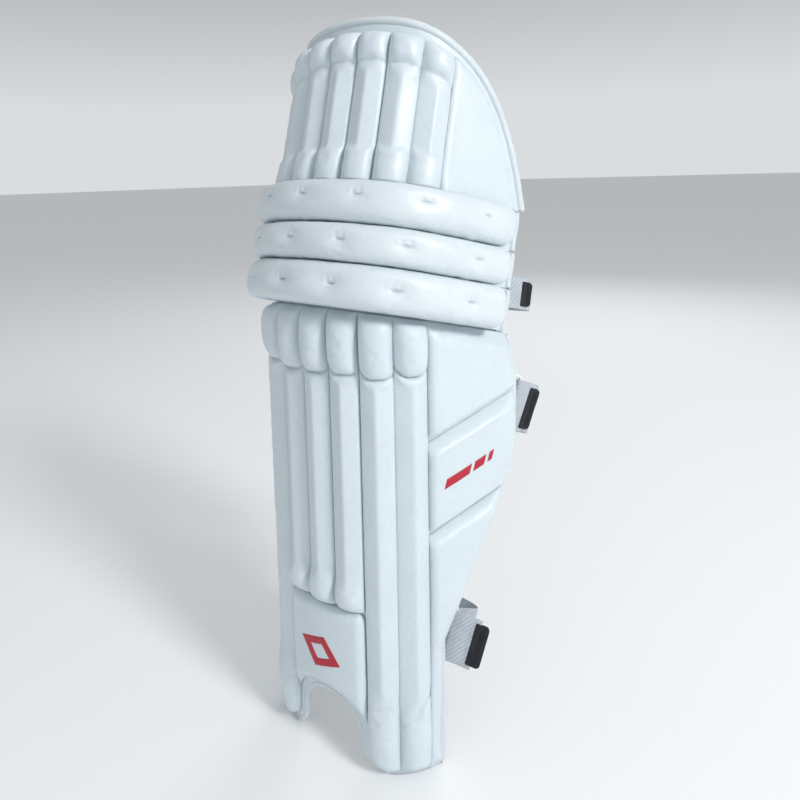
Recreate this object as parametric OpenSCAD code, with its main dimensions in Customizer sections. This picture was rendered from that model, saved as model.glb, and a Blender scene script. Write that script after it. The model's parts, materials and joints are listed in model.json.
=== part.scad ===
// Cricket leg pad: padded front shell for the shin, three knee rolls, a top flap
// and three calf straps. The pad stands on its two bottom lobes, front towards -Y.
//
// The whole pad is bent from flat layers around one plan curve. A place on it is
// given as s (distance round the curve from the middle line), off (distance out
// of the curve, positive to the front) and a height.

/* [Plan curve] */
// Width of one padded channel, measured round the curve
pitch = 30; // [27:0.5:33]
// Radius of the curve over the three middle channels
front_r = 156; // [140:1:180]
// Radius of the curve over the two outer channels on each side
side_r = 73; // [68:1:80]
// Distance round the curve from the middle line to the edge of a side wing
wing_max = 205; // [195:1:210]

/* [Heights] */
// Height of the plane where the knee rolls start, at the front
knee_z = 480; // [460:1:500]
// Backward lean of the knee rolls and the top flap, in degrees
knee_lean = 15; // [10:1:18]
// Height of the lowest knee roll
roll_low_h = 40; // [36:1:44]
// Height of the middle knee roll
roll_mid_h = 35; // [32:1:40]
// Height of the top knee roll
roll_top_h = 39; // [36:1:44]
// Height of the top flap above the knee rolls
flap_h = 152; // [130:1:170]

/* [Padding] */
// How far the channels of the shin stand out
bar_h = 11; // [8:0.5:13]
// How far the round heads of the channels stand out
knuckle_h = 15; // [12:0.5:18]
// How far a knee roll stands out
roll_out = 28; // [22:1:32]
// Half of the length of a knee roll, measured round the curve
roll_half = 181; // [170:1:186]
// Thickness of the side wing padding
wing_pad = 9; // [6:0.5:11]
// Thickness of the backing board and its cloth
back_t = 4; // [3:0.5:5]
// Thickness of the soft lining
lining_t = 3.8; // [3:0.1:5]

/* [Instep] */
// Radius of the cut-out over the shoe
arch_r = 38; // [34:1:42]
// Height of the middle of the cut-out's round
arch_z = 34.5; // [32:0.5:38]
// Height of the top seam of the instep patch
patch_z = 168; // [150:1:180]

/* [Straps] */
// Webbing width of the top strap
top_strap_w = 30; // [25:1:34]
// Webbing width of the middle and bottom straps
wide_strap_w = 50; // [40:1:52]
// Webbing thickness
web_t = 1.5; // [1.2:0.1:2]
// Radius of the wire of a ring
wire_r = 1.6; // [1.4:0.1:2]

/* [Hidden] */

// Colours
leather = [0.88, 0.92, 0.95];
cloth = [0.93, 0.93, 0.91];
foam = [0.86, 0.84, 0.74];
cane = [0.78, 0.62, 0.38];
webbing = [0.78, 0.80, 0.83];
plastic = [0.90, 0.91, 0.92];
tab_black = [0.06, 0.07, 0.10];

// Place of the front of the pad in front of the origin
ground_y = -90.25;

// Gaps between pieces
gap = 0.2;
seam = 0.4;
body_gap = 0.4;

// Plan curve
half_turn = 180 / PI;
front_s = 1.5 * pitch;
wing_s = 3.5 * pitch;
front_turn = front_s / front_r * half_turn;
wing_turn = front_turn + (wing_s - front_s) / side_r * half_turn;
front_end = front_r * [sin(front_turn), 1 - cos(front_turn)];
wing_root = front_end
    + side_r * [sin(wing_turn) - sin(front_turn), cos(front_turn) - cos(wing_turn)];
along = [cos(wing_turn), sin(wing_turn)];

// Heading of the curve at s, in degrees from +X
function turn(s) = sign(s) * (abs(s) < front_s
    ? abs(s) / front_r * half_turn
    : front_turn + (min(abs(s), wing_s) - front_s) / side_r * half_turn);

// Point on the curve at a distance q to the right of the middle line
function half_curve(q) = q < front_s
    ? front_r * [sin(turn(q)), 1 - cos(turn(q))]
    : q < wing_s
        ? front_end + side_r * [sin(turn(q)) - sin(front_turn),
                                cos(front_turn) - cos(turn(q))]
        : wing_root + (q - wing_s) * along;

// Plan point at s and off
function plan(s, off = 0) =
    let (p = half_curve(abs(s)), a = turn(s))
    [(s < 0 ? -1 : 1) * p[0] + off * sin(a), p[1] - off * cos(a)];

// Outline of a layer between two distances and two offs
function layer(s0, s1, inner, outer, steps) = concat(
    [for (i = [0:steps]) plan(s0 + (s1 - s0) * i / steps, outer)],
    [for (i = [steps:-1:0]) plan(s0 + (s1 - s0) * i / steps, inner)]);

// Puts flat work at s, with +X along the curve and -Y to the front
module at_curve(s) {
    translate(concat(plan(s), 0))
        rotate(turn(s))
            children();
}

// Raises an outline drawn in s and height off the plane of the right wing
module on_wing(inner, outer) {
    at_curve(wing_s)
        rotate([90, 0, 0])
            translate([-wing_s, 0, inner])
                linear_extrude(outer - inner)
                    children();
}

// Front view outline pushed through the whole pad
module through(depth = 400) {
    rotate([90, 0, 0])
        linear_extrude(depth, center = true)
            children();
}

// Moves the pad so that the origin is under the middle of its depth
module on_ground() {
    translate([0, ground_y, 0])
        children();
}

module both_sides() {
    children();
    mirror([1, 0, 0])
        children();
}

// Knee block: its own upright frame, leaning back with the knee
roll_low_z = 22 - roll_low_h;
roll_mid_z = 22;
roll_top_z = roll_mid_z + roll_mid_h;
flap_z = roll_top_z + roll_top_h;
flap_top = flap_z + flap_h;
shin_top = roll_low_z - body_gap;

module knee_frame() {
    translate([0, 0, knee_z])
        rotate([-knee_lean, 0, 0])
            children();
}

module knee_block() {
    on_ground()
        knee_frame()
            children();
}

// Keeps only what lies under the sloping plane where the rolls start
module under_knee() {
    difference() {
        union()
            children();
        knee_frame()
            translate([-200, -100, shin_top])
                cube([400, 300, 200]);
    }
}

// Edge of the shin wing: straight side, rounded hip, slope and upright heel
heel_s = 121.5;
hip_z = 335;
slope_z = 281;
slope_s = wing_max - 10;
slope_run = 0.493;
shoulder_z = 370;
bend_soft = 295;

function edge_s(z) =
    z > shoulder_z ? wing_max - pow(z - shoulder_z, 2) / bend_soft
    : z > hip_z ? wing_max
    : z > slope_z ? wing_max - pow(hip_z - z, 2) / bend_soft
    : max(heel_s, slope_s - (slope_z - z) * slope_run);

// Grooves across the wing
groove_w = 5;
groove_slope = 0.37;
low_groove_z = 245;
high_groove_z = 335;
function groove(z0, s) = z0 + (s - wing_s) * groove_slope;

// Wing outline in s and height, set in from the edge
module wing_outline(inset) {
    low = max(inset, 0);
    round_r = 9;
    top = 500;
    polygon(concat(
        [[wing_s + 0.3, low], [heel_s - inset - round_r, low],
         [heel_s - inset - round_r * 0.3, low + round_r * 0.3]],
        [for (z = concat([low + round_r, 60, 96, 132], [for (i = [12:37]) 12 * i], [top]))
            [edge_s(z) - inset, z]],
        [[wing_s + 0.3, top]]));
}

// Part of the wing between two slanted lines, 0 for no line
module wing_part(low_z, high_z) {
    far = 230;
    intersection() {
        wing_outline(5);
        polygon([
            [wing_s, low_z == 0 ? 0 : groove(low_z, wing_s) + groove_w / 2],
            [far, low_z == 0 ? 0 : groove(low_z, far) + groove_w / 2],
            [far, high_z == 0 ? 500 : groove(high_z, far) - groove_w / 2],
            [wing_s, high_z == 0 ? 500 : groove(high_z, wing_s) - groove_w / 2]]);
    }
}

module wing_panel(low_z, high_z) {
    color(leather)
        on_ground()
            under_knee()
                on_wing(seam, wing_pad)
                    wing_part(low_z, high_z);
}

// Cut-out over the shoe, with the two lobes' round inner corners
lobe_r = 28;
module arch_gap(grow) {
    corner = arch_r + lobe_r;
    translate([0, arch_z])
        circle(arch_r + grow, $fn = 72);
    translate([-arch_r - grow, -1])
        square([2 * (arch_r + grow), arch_z + 1]);
    both_sides()
        difference() {
            translate([0, -1])
                square([corner, lobe_r + 1]);
            translate([corner, lobe_r])
                circle(lobe_r - grow, $fn = 72);
        }
    translate([-200, -1])
        square([400, 1 + grow]);
}

// One layer of the shin: the curved middle and both flat wings
module shin_layer(inner, outer, inset) {
    on_ground()
        under_knee() {
            difference() {
                linear_extrude(520)
                    polygon(layer(-wing_s - seam, wing_s + seam, inner, outer, 42));
                through()
                    arch_gap(inset);
            }
            both_sides()
                on_wing(inner, outer)
                    wing_outline(inset);
        }
}

module shin_backing() {
    color(leather)
        shin_layer(-back_t, 0, 0);
}

module shin_lining() {
    color(cloth)
        shin_layer(-back_t - gap - lining_t, -back_t - gap, 3);
}

// Rounded section of a channel, open to the curve behind it
function channel_section(mid, high) =
    let (half = pitch / 2 - seam, rim = 2)
    concat(
        [for (i = [0:8]) plan(mid - half * cos(180 * i / 8),
                              rim + (high - rim) * sin(180 * i / 8))],
        [for (i = [4:-1:0]) plan(mid - half + half * i / 2, gap)]);

// Channel between two heights, shaped by a side outline of height and off
module channel(mid, low, high, side_outline) {
    intersection() {
        translate([0, 0, low])
            linear_extrude(high - low)
                polygon(channel_section(mid, knuckle_h));
        at_curve(mid)
            rotate([90, 0, 90])
                linear_extrude(pitch * 1.4, center = true)
                    polygon([for (p = side_outline) [-p[1], p[0]]]);
    }
}

// Room for the cane strip inside a channel
cane_w = 13.6;
cane_off = 2.8;
cane_t = 5.4;
module cane_strip(mid, low, high, play) {
    at_curve(mid)
        translate([-cane_w / 2 - play, -cane_off - cane_t - play, low - play])
            cube([cane_w + 2 * play, cane_t + 2 * play, high - low + 2 * play]);
}

// Shin channels, numbered from the left
head_z = 404;
head_top = 446;
function shin_low(k) = abs(k) > 1 ? 8 : patch_z + 1;
function shin_side(low) = [
    [low, -3], [low, 5], [low + 4, 9], [low + 12, bar_h], [head_z - 10, bar_h],
    [head_z - 2, 8], [head_z + 2, 8], [head_z + 9, knuckle_h - 1.5],
    [head_z + 18, knuckle_h], [head_z + 27, knuckle_h], [head_top - 7, 12],
    [head_top, 6], [head_top, -3]];

module shin_channel(k) {
    mid = k * pitch;
    low = shin_low(k);
    color(leather)
        on_ground()
            difference() {
                channel(mid, low, head_top, shin_side(low));
                through()
                    arch_gap(8);
                cane_strip(mid, low + 22, head_z - 8, gap);
            }
}

module shin_channel_1() { shin_channel(-3); }
module shin_channel_2() { shin_channel(-2); }
module shin_channel_3() { shin_channel(-1); }
module shin_channel_4() { shin_channel(0); }
module shin_channel_5() { shin_channel(1); }
module shin_channel_6() { shin_channel(2); }
module shin_channel_7() { shin_channel(3); }

module shin_canes() {
    color(cane)
        on_ground()
            for (k = [-3:3])
                cane_strip(k * pitch, shin_low(k) + 22, head_z - 8, 0);
}

// Padded patch over the instep
module instep_patch() {
    half = 1.5 * pitch - seam;
    round_r = 8;
    corner_x = front_end[0] - round_r;
    color(leather)
        on_ground()
            difference() {
                linear_extrude(patch_z)
                    polygon(layer(-half, half, gap, 9, 16));
                through()
                    difference() {
                        translate([-100, patch_z - round_r])
                            square([200, 50]);
                        translate([-corner_x, patch_z - round_r])
                            square([2 * corner_x, round_r]);
                        both_sides()
                            translate([corner_x, patch_z - round_r])
                                circle(round_r, $fn = 32);
                    }
                through()
                    arch_gap(9.5);
            }
}

module wing_right_upper() { wing_panel(high_groove_z, 0); }
module wing_right_middle() { wing_panel(low_groove_z, high_groove_z); }
module wing_right_lower() { wing_panel(0, low_groove_z); }
module wing_left_upper() { mirror([1, 0, 0]) wing_right_upper(); }
module wing_left_middle() { mirror([1, 0, 0]) wing_right_middle(); }
module wing_left_lower() { mirror([1, 0, 0]) wing_right_lower(); }

// Skin of a tube through rings of equal point count
module tube_skin(rings) {
    sides = len(rings[0]);
    last = len(rings) - 1;
    polyhedron(
        points = [for (ring = rings) for (p = ring) p],
        faces = concat(
            [[for (i = [sides - 1:-1:0]) i]],
            [for (j = [0:last - 1]) for (i = [0:sides - 1])
                let (a = j * sides + i, b = j * sides + (i + 1) % sides)
                each [[a, b, b + sides], [a, b + sides, a + sides]]],
            [[for (i = [0:sides - 1]) last * sides + i]]));
}

function unit(v) = v / norm(v);

// Rings of a round cord along points, with the front direction at each point
function cord_rings(path, fronts, r, sides) = [
    for (j = [0:len(path) - 1])
        let (ahead = unit(path[min(j + 1, len(path) - 1)] - path[max(j - 1, 0)]),
             across = unit(cross(ahead, fronts[j])),
             up = cross(across, ahead))
        [for (i = [0:sides - 1])
            path[j] + r * (cos(360 * i / sides) * across
                           + sin(360 * i / sides) * up)]];

// Place on the pad in space, and the direction out of it
function place(s, z, off) = concat(plan(s, off), z);
function front_at(s) = [sin(turn(s)), -cos(turn(s)), 0];

// Angle round the front curve as a distance, for a point given by its x
function s_at_x(x) = x < front_end[0]
    ? asin(x / front_r) / half_turn * front_r
    : front_s + side_r / half_turn
        * (asin((x - front_end[0]) / side_r + sin(front_turn)) - front_turn);

// Binding sewn round an edge: its path is a list of s and height
bind_r = 2.8;
bind_off = -back_t / 2 - 1;
module binding(path) {
    tube_skin(cord_rings([for (p = path) place(p[0], p[1], bind_off)],
                         [for (p = path) front_at(p[0])], bind_r, 8));
}

heel_bottom = 12;
side_edge = concat(
    [for (z = [424:-10:144]) [edge_s(z) + bind_r + seam, z]],
    [for (z = [130, 90, 50, heel_bottom]) [heel_s + bind_r + seam, z]]);

function lobe_turn(a) =
    [arch_r + lobe_r, lobe_r] + (lobe_r + bind_r + seam) * [-sin(a), -cos(a)];
function arch_turn(a) = [0, arch_z] + (arch_r - bind_r - seam) * [sin(a), cos(a)];
arch_half = concat(
    [for (a = [40:8:88]) let (p = lobe_turn(a)) [s_at_x(p[0]), p[1]]],
    [for (a = [88:-11:0]) let (p = arch_turn(a)) [s_at_x(p[0]), p[1]]]);

module shin_binding() {
    color(leather)
        on_ground() {
            both_sides()
                binding(side_edge);
            binding(concat(arch_half,
                [for (i = [len(arch_half) - 2:-1:0])
                    [-arch_half[i][0], arch_half[i][1]]]));
        }
}

// Soft bar on the inside, round towards the leg
module inner_bar(mid, half, height, low, high, inner) {
    translate([0, 0, low])
        linear_extrude(high - low)
            polygon(concat(
                [for (i = [0:10]) plan(mid - half * cos(18 * i),
                                       inner - height * sin(18 * i))],
                [for (i = [8:-2:2]) plan(mid - half * cos(18 * i), inner)]));
}

module calf_bolster_right() {
    color(cloth)
        on_ground()
            inner_bar(76, 17, 15, 150, 400, -back_t - 2 * gap - lining_t);
}

module calf_bolster_left() {
    mirror([1, 0, 0])
        calf_bolster_right();
}

// Knee rolls, in the knee frame
core_wall = 2;
function roll_shape(low, high, shrink) =
    let (mid_z = (low + high) / 2, half_h = (high - low - body_gap) / 2 - shrink,
         half_off = (roll_out - seam) / 2 - shrink, mid_off = (roll_out + seam) / 2,
         ends = [[-1, 0.35], [-0.985, 0.75], [-0.95, 1]],
         sides = concat([for (e = ends) e], [for (i = [-9:9]) [i / 10, 1]],
                        [for (i = [2:-1:0]) [-ends[i][0], ends[i][1]]]))
    [for (q = sides)
        [for (i = [0:13])
            let (a = 360 * i / 14, c = cos(a), d = sin(a),
                 r = 1 / pow(pow(abs(c), 2.6) + pow(abs(d), 2.6), 1 / 2.6))
            place(q[0] * (roll_half - shrink),
                  mid_z + half_h * r * d * q[1],
                  mid_off + half_off * (r * c * q[1]))]];

module knee_roll(low, high) {
    color(leather)
        knee_block()
            difference() {
                tube_skin(roll_shape(low, high, 0));
                tube_skin(roll_shape(low, high, core_wall));
            }
}

module knee_core(low, high) {
    color(foam)
        knee_block()
            tube_skin(roll_shape(low, high, core_wall + gap));
}

// Backing strip behind one knee roll
knee_half = 196;
module knee_backing(low, high) {
    color(leather)
        knee_block()
            translate([0, 0, low + body_gap / 2])
                linear_extrude(high - low - body_gap)
                    polygon(layer(-knee_half, knee_half, -back_t, 0, 56));
}

module knee_backing_lower() { knee_backing(roll_low_z, roll_mid_z); }
module knee_backing_middle() { knee_backing(roll_mid_z, roll_top_z); }
module knee_backing_upper() { knee_backing(roll_top_z, flap_z); }
module knee_roll_lower() { knee_roll(roll_low_z, roll_mid_z); }
module knee_roll_middle() { knee_roll(roll_mid_z, roll_top_z); }
module knee_roll_upper() { knee_roll(roll_top_z, flap_z); }
module knee_core_lower() { knee_core(roll_low_z, roll_mid_z); }
module knee_core_middle() { knee_core(roll_mid_z, roll_top_z); }
module knee_core_upper() { knee_core(roll_top_z, flap_z); }

// Two soft bars that steady the knee, on a mount behind the middle roll
cradle_lift = 4.4;
module knee_cradle() {
    inner = -back_t - cradle_lift;
    color(cloth)
        knee_block()
            both_sides() {
                inner_bar(62, 20, 14, roll_low_z + 14, flap_z - 14, inner);
                translate([0, 0, roll_mid_z + 3])
                    linear_extrude(roll_mid_h - 6)
                        polygon(layer(46, 78, inner - 0.5, -back_t - gap, 6));
            }
}

// Top flap outline in front view: a wide dome
dome_half = 131;
dome_round = 20;
dome_side = 128;
function dome(x) =
    let (r = min(1, abs(x) / dome_half))
    flap_top - dome_round * pow(r, 2) - dome_side * pow(r, 7);

module dome_outline(inset) {
    half = dome_half - inset;
    polygon(concat(
        [[-half + 1, flap_z + inset / 2]],
        [for (i = [-20:20]) let (x = half * sin(4.5 * i))
            [x, max(flap_z + inset, dome(x * dome_half / half) - inset)]],
        [[half - 1, flap_z + inset / 2]]));
}

module flap_layer(inner, outer, inset) {
    knee_block()
        intersection() {
            linear_extrude(flap_top + 10)
                polygon(layer(-wing_max, wing_max, inner, outer, 58));
            through()
                dome_outline(inset);
        }
}

module flap_backing() {
    color(leather)
        flap_layer(-back_t, 0, body_gap);
}

module flap_lining() {
    color(cloth)
        flap_layer(-back_t - gap - 6, -back_t - gap, 4);
}

// Channels of the flap: swollen at the foot and at the head
function flap_side(low, high) = [
    [low, -3], [low, 8], [low + 8, 13], [low + 20, 14], [low + 28, 10.5],
    [high - 30, 9.5], [high - 26, 10], [high - 16, 13], [high - 7, 11],
    [high, 4], [high, -3]];

rim_w = 12;
module flap_channel(k) {
    mid = k * pitch;
    low = flap_z + body_gap;
    high = dome(plan(mid)[0]) - rim_w;
    color(leather)
        knee_block()
            difference() {
                channel(mid, low, high, flap_side(low, high));
                cane_strip(mid, low + 14, high - 16, gap);
            }
}

module flap_channel_1() { flap_channel(-3); }
module flap_channel_2() { flap_channel(-2); }
module flap_channel_3() { flap_channel(-1); }
module flap_channel_4() { flap_channel(0); }
module flap_channel_5() { flap_channel(1); }
module flap_channel_6() { flap_channel(2); }
module flap_channel_7() { flap_channel(3); }

module flap_canes() {
    low = flap_z + body_gap + 14;
    color(cane)
        knee_block()
            for (k = [-3:3])
                cane_strip(k * pitch, low, dome(plan(k * pitch)[0]) - rim_w - 16, 0);
}

module flap_wing_right() {
    inset = 8;
    last = 192;
    color(leather)
        knee_block()
            on_wing(seam, 7)
                polygon(concat(
                    [[wing_s + seam, flap_z + body_gap], [last, flap_z + body_gap]],
                    [for (i = [12:-1:0]) let (s = wing_s + seam + (last - wing_s) * i / 12)
                        [s, dome(plan(s)[0]) - inset - 12 * pow((s - wing_s) / 87, 3)]]));
}

module flap_wing_left() {
    mirror([1, 0, 0])
        flap_wing_right();
}

// Point just outside the flap's edge, from the top of the dome (0) to its side (90)
function rim_point(turn) =
    let (r = sin(turn),
         slope = (2 * dome_round * r + 7 * dome_side * pow(r, 6)) / dome_half,
         p = [dome_half * r, dome(dome_half * r)] + (bind_r + seam) * unit([slope, 1]),
         root = wing_root[0] + bind_off * sin(wing_turn))
    [p[0] < root ? s_at_x(p[0] - bind_off * sin(turn * wing_turn / 90))
                 : wing_s + (p[0] - root) / along[0],
     p[1]];

module flap_binding() {
    steps = 18;
    side = rim_point(90);
    half = concat([for (i = [0:steps]) rim_point(90 * i / steps)],
                  [[side[0], flap_z + 1.5]]);
    color(leather)
        knee_block()
            binding(concat([for (i = [len(half) - 1:-1:1]) [-half[i][0], half[i][1]]],
                           half));
}

// Straps: each frame has its origin on the ring bar near the wing edge, +X back
// along the strap, +Y in towards the leg and +Z up the width of the strap. A strap
// slopes down by its tilt and swings out round its ring bar by its splay.
ring_off = -12;
ring_out = 8;
ring_len = 20;
sewn_off = -back_t - gap - lining_t - 1.2;
no_lining = gap + lining_t;
bend_in = wire_r + 0.35;
leg_y = bend_in + web_t / 2;

module strap_frame(edge, z, tilt, splay = 0, lift = 0) {
    at_curve(edge + ring_out)
        translate([0, -ring_off - lift, z])
            rotate([0, tilt, 0])
                rotate([0, 0, -splay])
                    children();
}

// Rounded loop of wire that the strap runs through
module strap_ring(width) {
    half = width / 2 + 1.2 + wire_r;
    color(plastic)
        for (x = [0, -ring_len]) {
            translate([x, 0, -half])
                cylinder(h = 2 * half, r = wire_r, $fn = 24);
            for (z = [-half, half])
                translate([x, 0, z])
                    sphere(wire_r, $fn = 24);
        }
    color(plastic)
        for (z = [-half, half])
            translate([-ring_len, 0, z])
                rotate([0, 90, 0])
                    cylinder(h = ring_len, r = wire_r, $fn = 24);
}

// Short loop of webbing that holds the ring on the wing
module strap_keeper(width, tail) {
    outer = wire_r + 0.2 + web_t;
    color(webbing)
        translate([-ring_len, 0, -width / 2])
            difference() {
                linear_extrude(width)
                    union() {
                        circle(outer, $fn = 48);
                        translate([-tail, -outer])
                            square([tail, web_t]);
                        translate([-tail, -outer + web_t])
                            square([tail - outer, web_t]);
                    }
                translate([0, 0, -1])
                    cylinder(h = width + 2, r = wire_r + 0.2, $fn = 48);
            }
}

// Free end of the strap: it peels open about a fold line behind the ring
fold_x = 8.5;
module strap_tail(width, length) {
    color(webbing)
        translate([fold_x + 0.5, -leg_y - web_t / 2, -width / 2])
            cube([length - fold_x - 0.2, web_t, width]);
}

// Stiff pull tab sewn over the end of the tail
tab_t = 3.2;
module strap_tab(width, start, length) {
    round_r = 4;
    color(tab_black)
        translate([start + 0.5, -leg_y, 0])
            rotate([90, 0, 0])
                linear_extrude(tab_t, center = true)
                    union() {
                        translate([0, -width / 2])
                            square([length - round_r, width]);
                        translate([length - round_r - 1, -width / 2 + round_r])
                            square([round_r + 1, width - 2 * round_r]);
                        for (z = [-1, 1])
                            translate([length - round_r, z * (width / 2 - round_r)])
                                circle(round_r, $fn = 32);
                    }
}

// Direction in a strap frame as a direction in space
function strap_way(v, tilt, splay) =
    let (x = v[0] * cos(splay) + v[1] * sin(splay),
         y = v[1] * cos(splay) - v[0] * sin(splay),
         back = x * cos(tilt) + v[2] * sin(tilt),
         up = v[2] * cos(tilt) - x * sin(tilt))
    concat(back * along + y * [-along[1], along[0]], up);
function bezier(a, b, c, d, t) =
    pow(1 - t, 3) * a + 3 * pow(1 - t, 2) * t * b + 3 * (1 - t) * t * t * c + pow(t, 3) * d;
function flip_x(v) = [-v[0], v[1], v[2]];

// Long run of a strap, from the fold line round the ring bar and the back of the
// leg to the other wing, where its last part is sewn on
run_straight = 24;
edge_room = 0.7;
bend_steps = 6;
module strap_run(edge, z, tilt, splay, lift, pull, width, sewn_len) {
    bar = place(edge + ring_out, z, ring_off + lift);
    ahead = strap_way([1, 0, 0], tilt, 0);
    width_way = strap_way([0, 0, 1], tilt, 0);
    turn_off = bar + strap_way([run_straight, leg_y, 0], tilt, 0);
    far = flip_x(turn_off);
    sewn = [for (d = [2, 10, sewn_len])
        flip_x(place(edge - d, z + (d + ring_out) * tan(tilt),
                     sewn_off + lift - (d < 10 ? edge_room : 0)))];
    around = [for (i = [0:bend_steps])
        let (a = 270 - splay - (180 - splay) * i / bend_steps)
        bar + strap_way(leg_y * [cos(a), sin(a), 0], tilt, 0)];
    path = concat(
        [bar + strap_way([fold_x - 0.9, -leg_y, 0], tilt, splay)],
        around, [turn_off],
        [for (i = [1:17]) bezier(turn_off, turn_off + pull * ahead,
                                 far + pull * flip_x(ahead), far, i / 18)],
        [far], sewn);
    count = len(path) - 1;
    held = bend_steps + 2;
    sewn_width_way = flip_x(width_way);
    color(webbing)
        tube_skin([for (i = [0:count])
            let (way = unit(path[min(i + 1, count)] - path[max(i - 1, 0)]),
                 mix = min(1, max(0, (i - held) / (count - 3 - held))),
                 up0 = i > count - 3 ? sewn_width_way
                     : unit((1 - mix) * width_way + mix * flip_x(width_way)),
                 thick = unit(cross(way, up0)),
                 up = cross(thick, way))
            [for (c = [[-1, -1], [-1, 1], [1, 1], [1, -1]])
                path[i] + c[0] * width / 2 * up + c[1] * web_t / 2 * thick]]);
}

// Straps: height, wing edge, downward tilt, splay, and how far the run reaches back
middle_z = 350;
middle_tilt = 22;
short_pull = 52;
bottom_z = 126;
bottom_edge = 130;
bottom_tilt = 20;
bottom_splay = 40;
bottom_pull = 45;
top_z = 20;
keeper_tail = 24;
short_keeper = 15;

module middle_frame() {
    on_ground()
        strap_frame(wing_max, middle_z, middle_tilt)
            children();
}

module bottom_frame(splay) {
    on_ground()
        strap_frame(bottom_edge, bottom_z, bottom_tilt, splay)
            children();
}

module top_frame() {
    knee_block()
        strap_frame(knee_half, top_z, 0, 0, no_lining)
            children();
}

module middle_strap_run() {
    on_ground()
        strap_run(wing_max, middle_z, middle_tilt, 0, 0, short_pull, wide_strap_w, 42);
}

module bottom_strap_run() {
    on_ground()
        strap_run(bottom_edge, bottom_z, bottom_tilt, bottom_splay, 0, bottom_pull,
                  wide_strap_w, 24);
}

module top_strap_run() {
    knee_block()
        strap_run(knee_half, top_z, 0, 0, no_lining, short_pull, top_strap_w, 42);
}

module middle_strap_keeper() { middle_frame() strap_keeper(wide_strap_w, keeper_tail); }
module middle_strap_ring() { middle_frame() strap_ring(wide_strap_w); }
module middle_strap_tail() { middle_frame() strap_tail(wide_strap_w, 12); }
module middle_strap_tab() { middle_frame() strap_tab(42, 12, 13); }
module bottom_strap_keeper() { bottom_frame(0) strap_keeper(wide_strap_w, short_keeper); }
module bottom_strap_ring() { bottom_frame(0) strap_ring(wide_strap_w); }
module bottom_strap_tail() { bottom_frame(bottom_splay) strap_tail(wide_strap_w, 20); }
module bottom_strap_tab() { bottom_frame(bottom_splay) strap_tab(42, 20, 14); }
module top_strap_keeper() { top_frame() strap_keeper(top_strap_w, keeper_tail); }
module top_strap_ring() { top_frame() strap_ring(top_strap_w); }
module top_strap_tail() { top_frame() strap_tail(top_strap_w, 12); }
module top_strap_tab() { top_frame() strap_tab(24, 12, 12); }

shin_backing();
shin_lining();
shin_channel_1();
shin_channel_2();
shin_channel_3();
shin_channel_4();
shin_channel_5();
shin_channel_6();
shin_channel_7();
shin_canes();
instep_patch();
wing_right_upper();
wing_right_middle();
wing_right_lower();
wing_left_upper();
wing_left_middle();
wing_left_lower();
shin_binding();
calf_bolster_right();
calf_bolster_left();
middle_strap_run();
middle_strap_keeper();
middle_strap_ring();
middle_strap_tail();
middle_strap_tab();
bottom_strap_run();
bottom_strap_keeper();
bottom_strap_ring();
bottom_strap_tail();
bottom_strap_tab();
knee_backing_lower();
knee_roll_lower();
knee_core_lower();
top_strap_run();
top_strap_keeper();
top_strap_ring();
top_strap_tail();
top_strap_tab();
knee_backing_middle();
knee_roll_middle();
knee_core_middle();
knee_cradle();
knee_backing_upper();
knee_roll_upper();
knee_core_upper();
flap_backing();
flap_lining();
flap_channel_1();
flap_channel_2();
flap_channel_3();
flap_channel_4();
flap_channel_5();
flap_channel_6();
flap_channel_7();
flap_canes();
flap_wing_right();
flap_wing_left();
flap_binding();
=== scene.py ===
import json
from math import asin, cos, pi, radians, sin, tan

import bmesh
import bpy
import numpy as np
from mathutils import Matrix, Vector
from mathutils.kdtree import KDTree

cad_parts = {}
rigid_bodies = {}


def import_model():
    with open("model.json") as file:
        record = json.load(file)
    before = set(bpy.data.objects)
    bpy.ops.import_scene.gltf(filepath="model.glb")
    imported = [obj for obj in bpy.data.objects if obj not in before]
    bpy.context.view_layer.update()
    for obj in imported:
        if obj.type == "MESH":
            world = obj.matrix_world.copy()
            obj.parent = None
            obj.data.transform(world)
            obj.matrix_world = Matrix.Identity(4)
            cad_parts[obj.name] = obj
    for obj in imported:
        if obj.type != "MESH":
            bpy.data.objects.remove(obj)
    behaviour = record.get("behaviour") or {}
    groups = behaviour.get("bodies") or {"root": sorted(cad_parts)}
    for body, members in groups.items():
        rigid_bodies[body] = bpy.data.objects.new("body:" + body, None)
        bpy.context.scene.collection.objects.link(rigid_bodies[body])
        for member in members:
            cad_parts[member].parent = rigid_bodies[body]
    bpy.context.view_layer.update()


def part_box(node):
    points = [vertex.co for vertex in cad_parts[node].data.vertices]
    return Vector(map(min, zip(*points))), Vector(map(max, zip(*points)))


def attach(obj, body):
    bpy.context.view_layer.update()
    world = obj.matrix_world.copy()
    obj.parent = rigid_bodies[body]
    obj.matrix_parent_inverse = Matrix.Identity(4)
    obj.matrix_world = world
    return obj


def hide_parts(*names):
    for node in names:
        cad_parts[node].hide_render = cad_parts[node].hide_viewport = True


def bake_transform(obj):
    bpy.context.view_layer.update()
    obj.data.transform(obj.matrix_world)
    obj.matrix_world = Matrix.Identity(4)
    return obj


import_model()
MM = 0.001

# ---------------------------------------------------------------- camera

VIEW_FROM = Vector((0.4092, -0.5525, 0.5765))
VIEW_AZIMUTH = 39.3
VIEW_DOWN = 8.0
VIEW_ROLL = -1.7
FOCAL_MM = 30.645
SENSOR_MM = 36
SHIFT = (0.07375, -0.1575)


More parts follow.
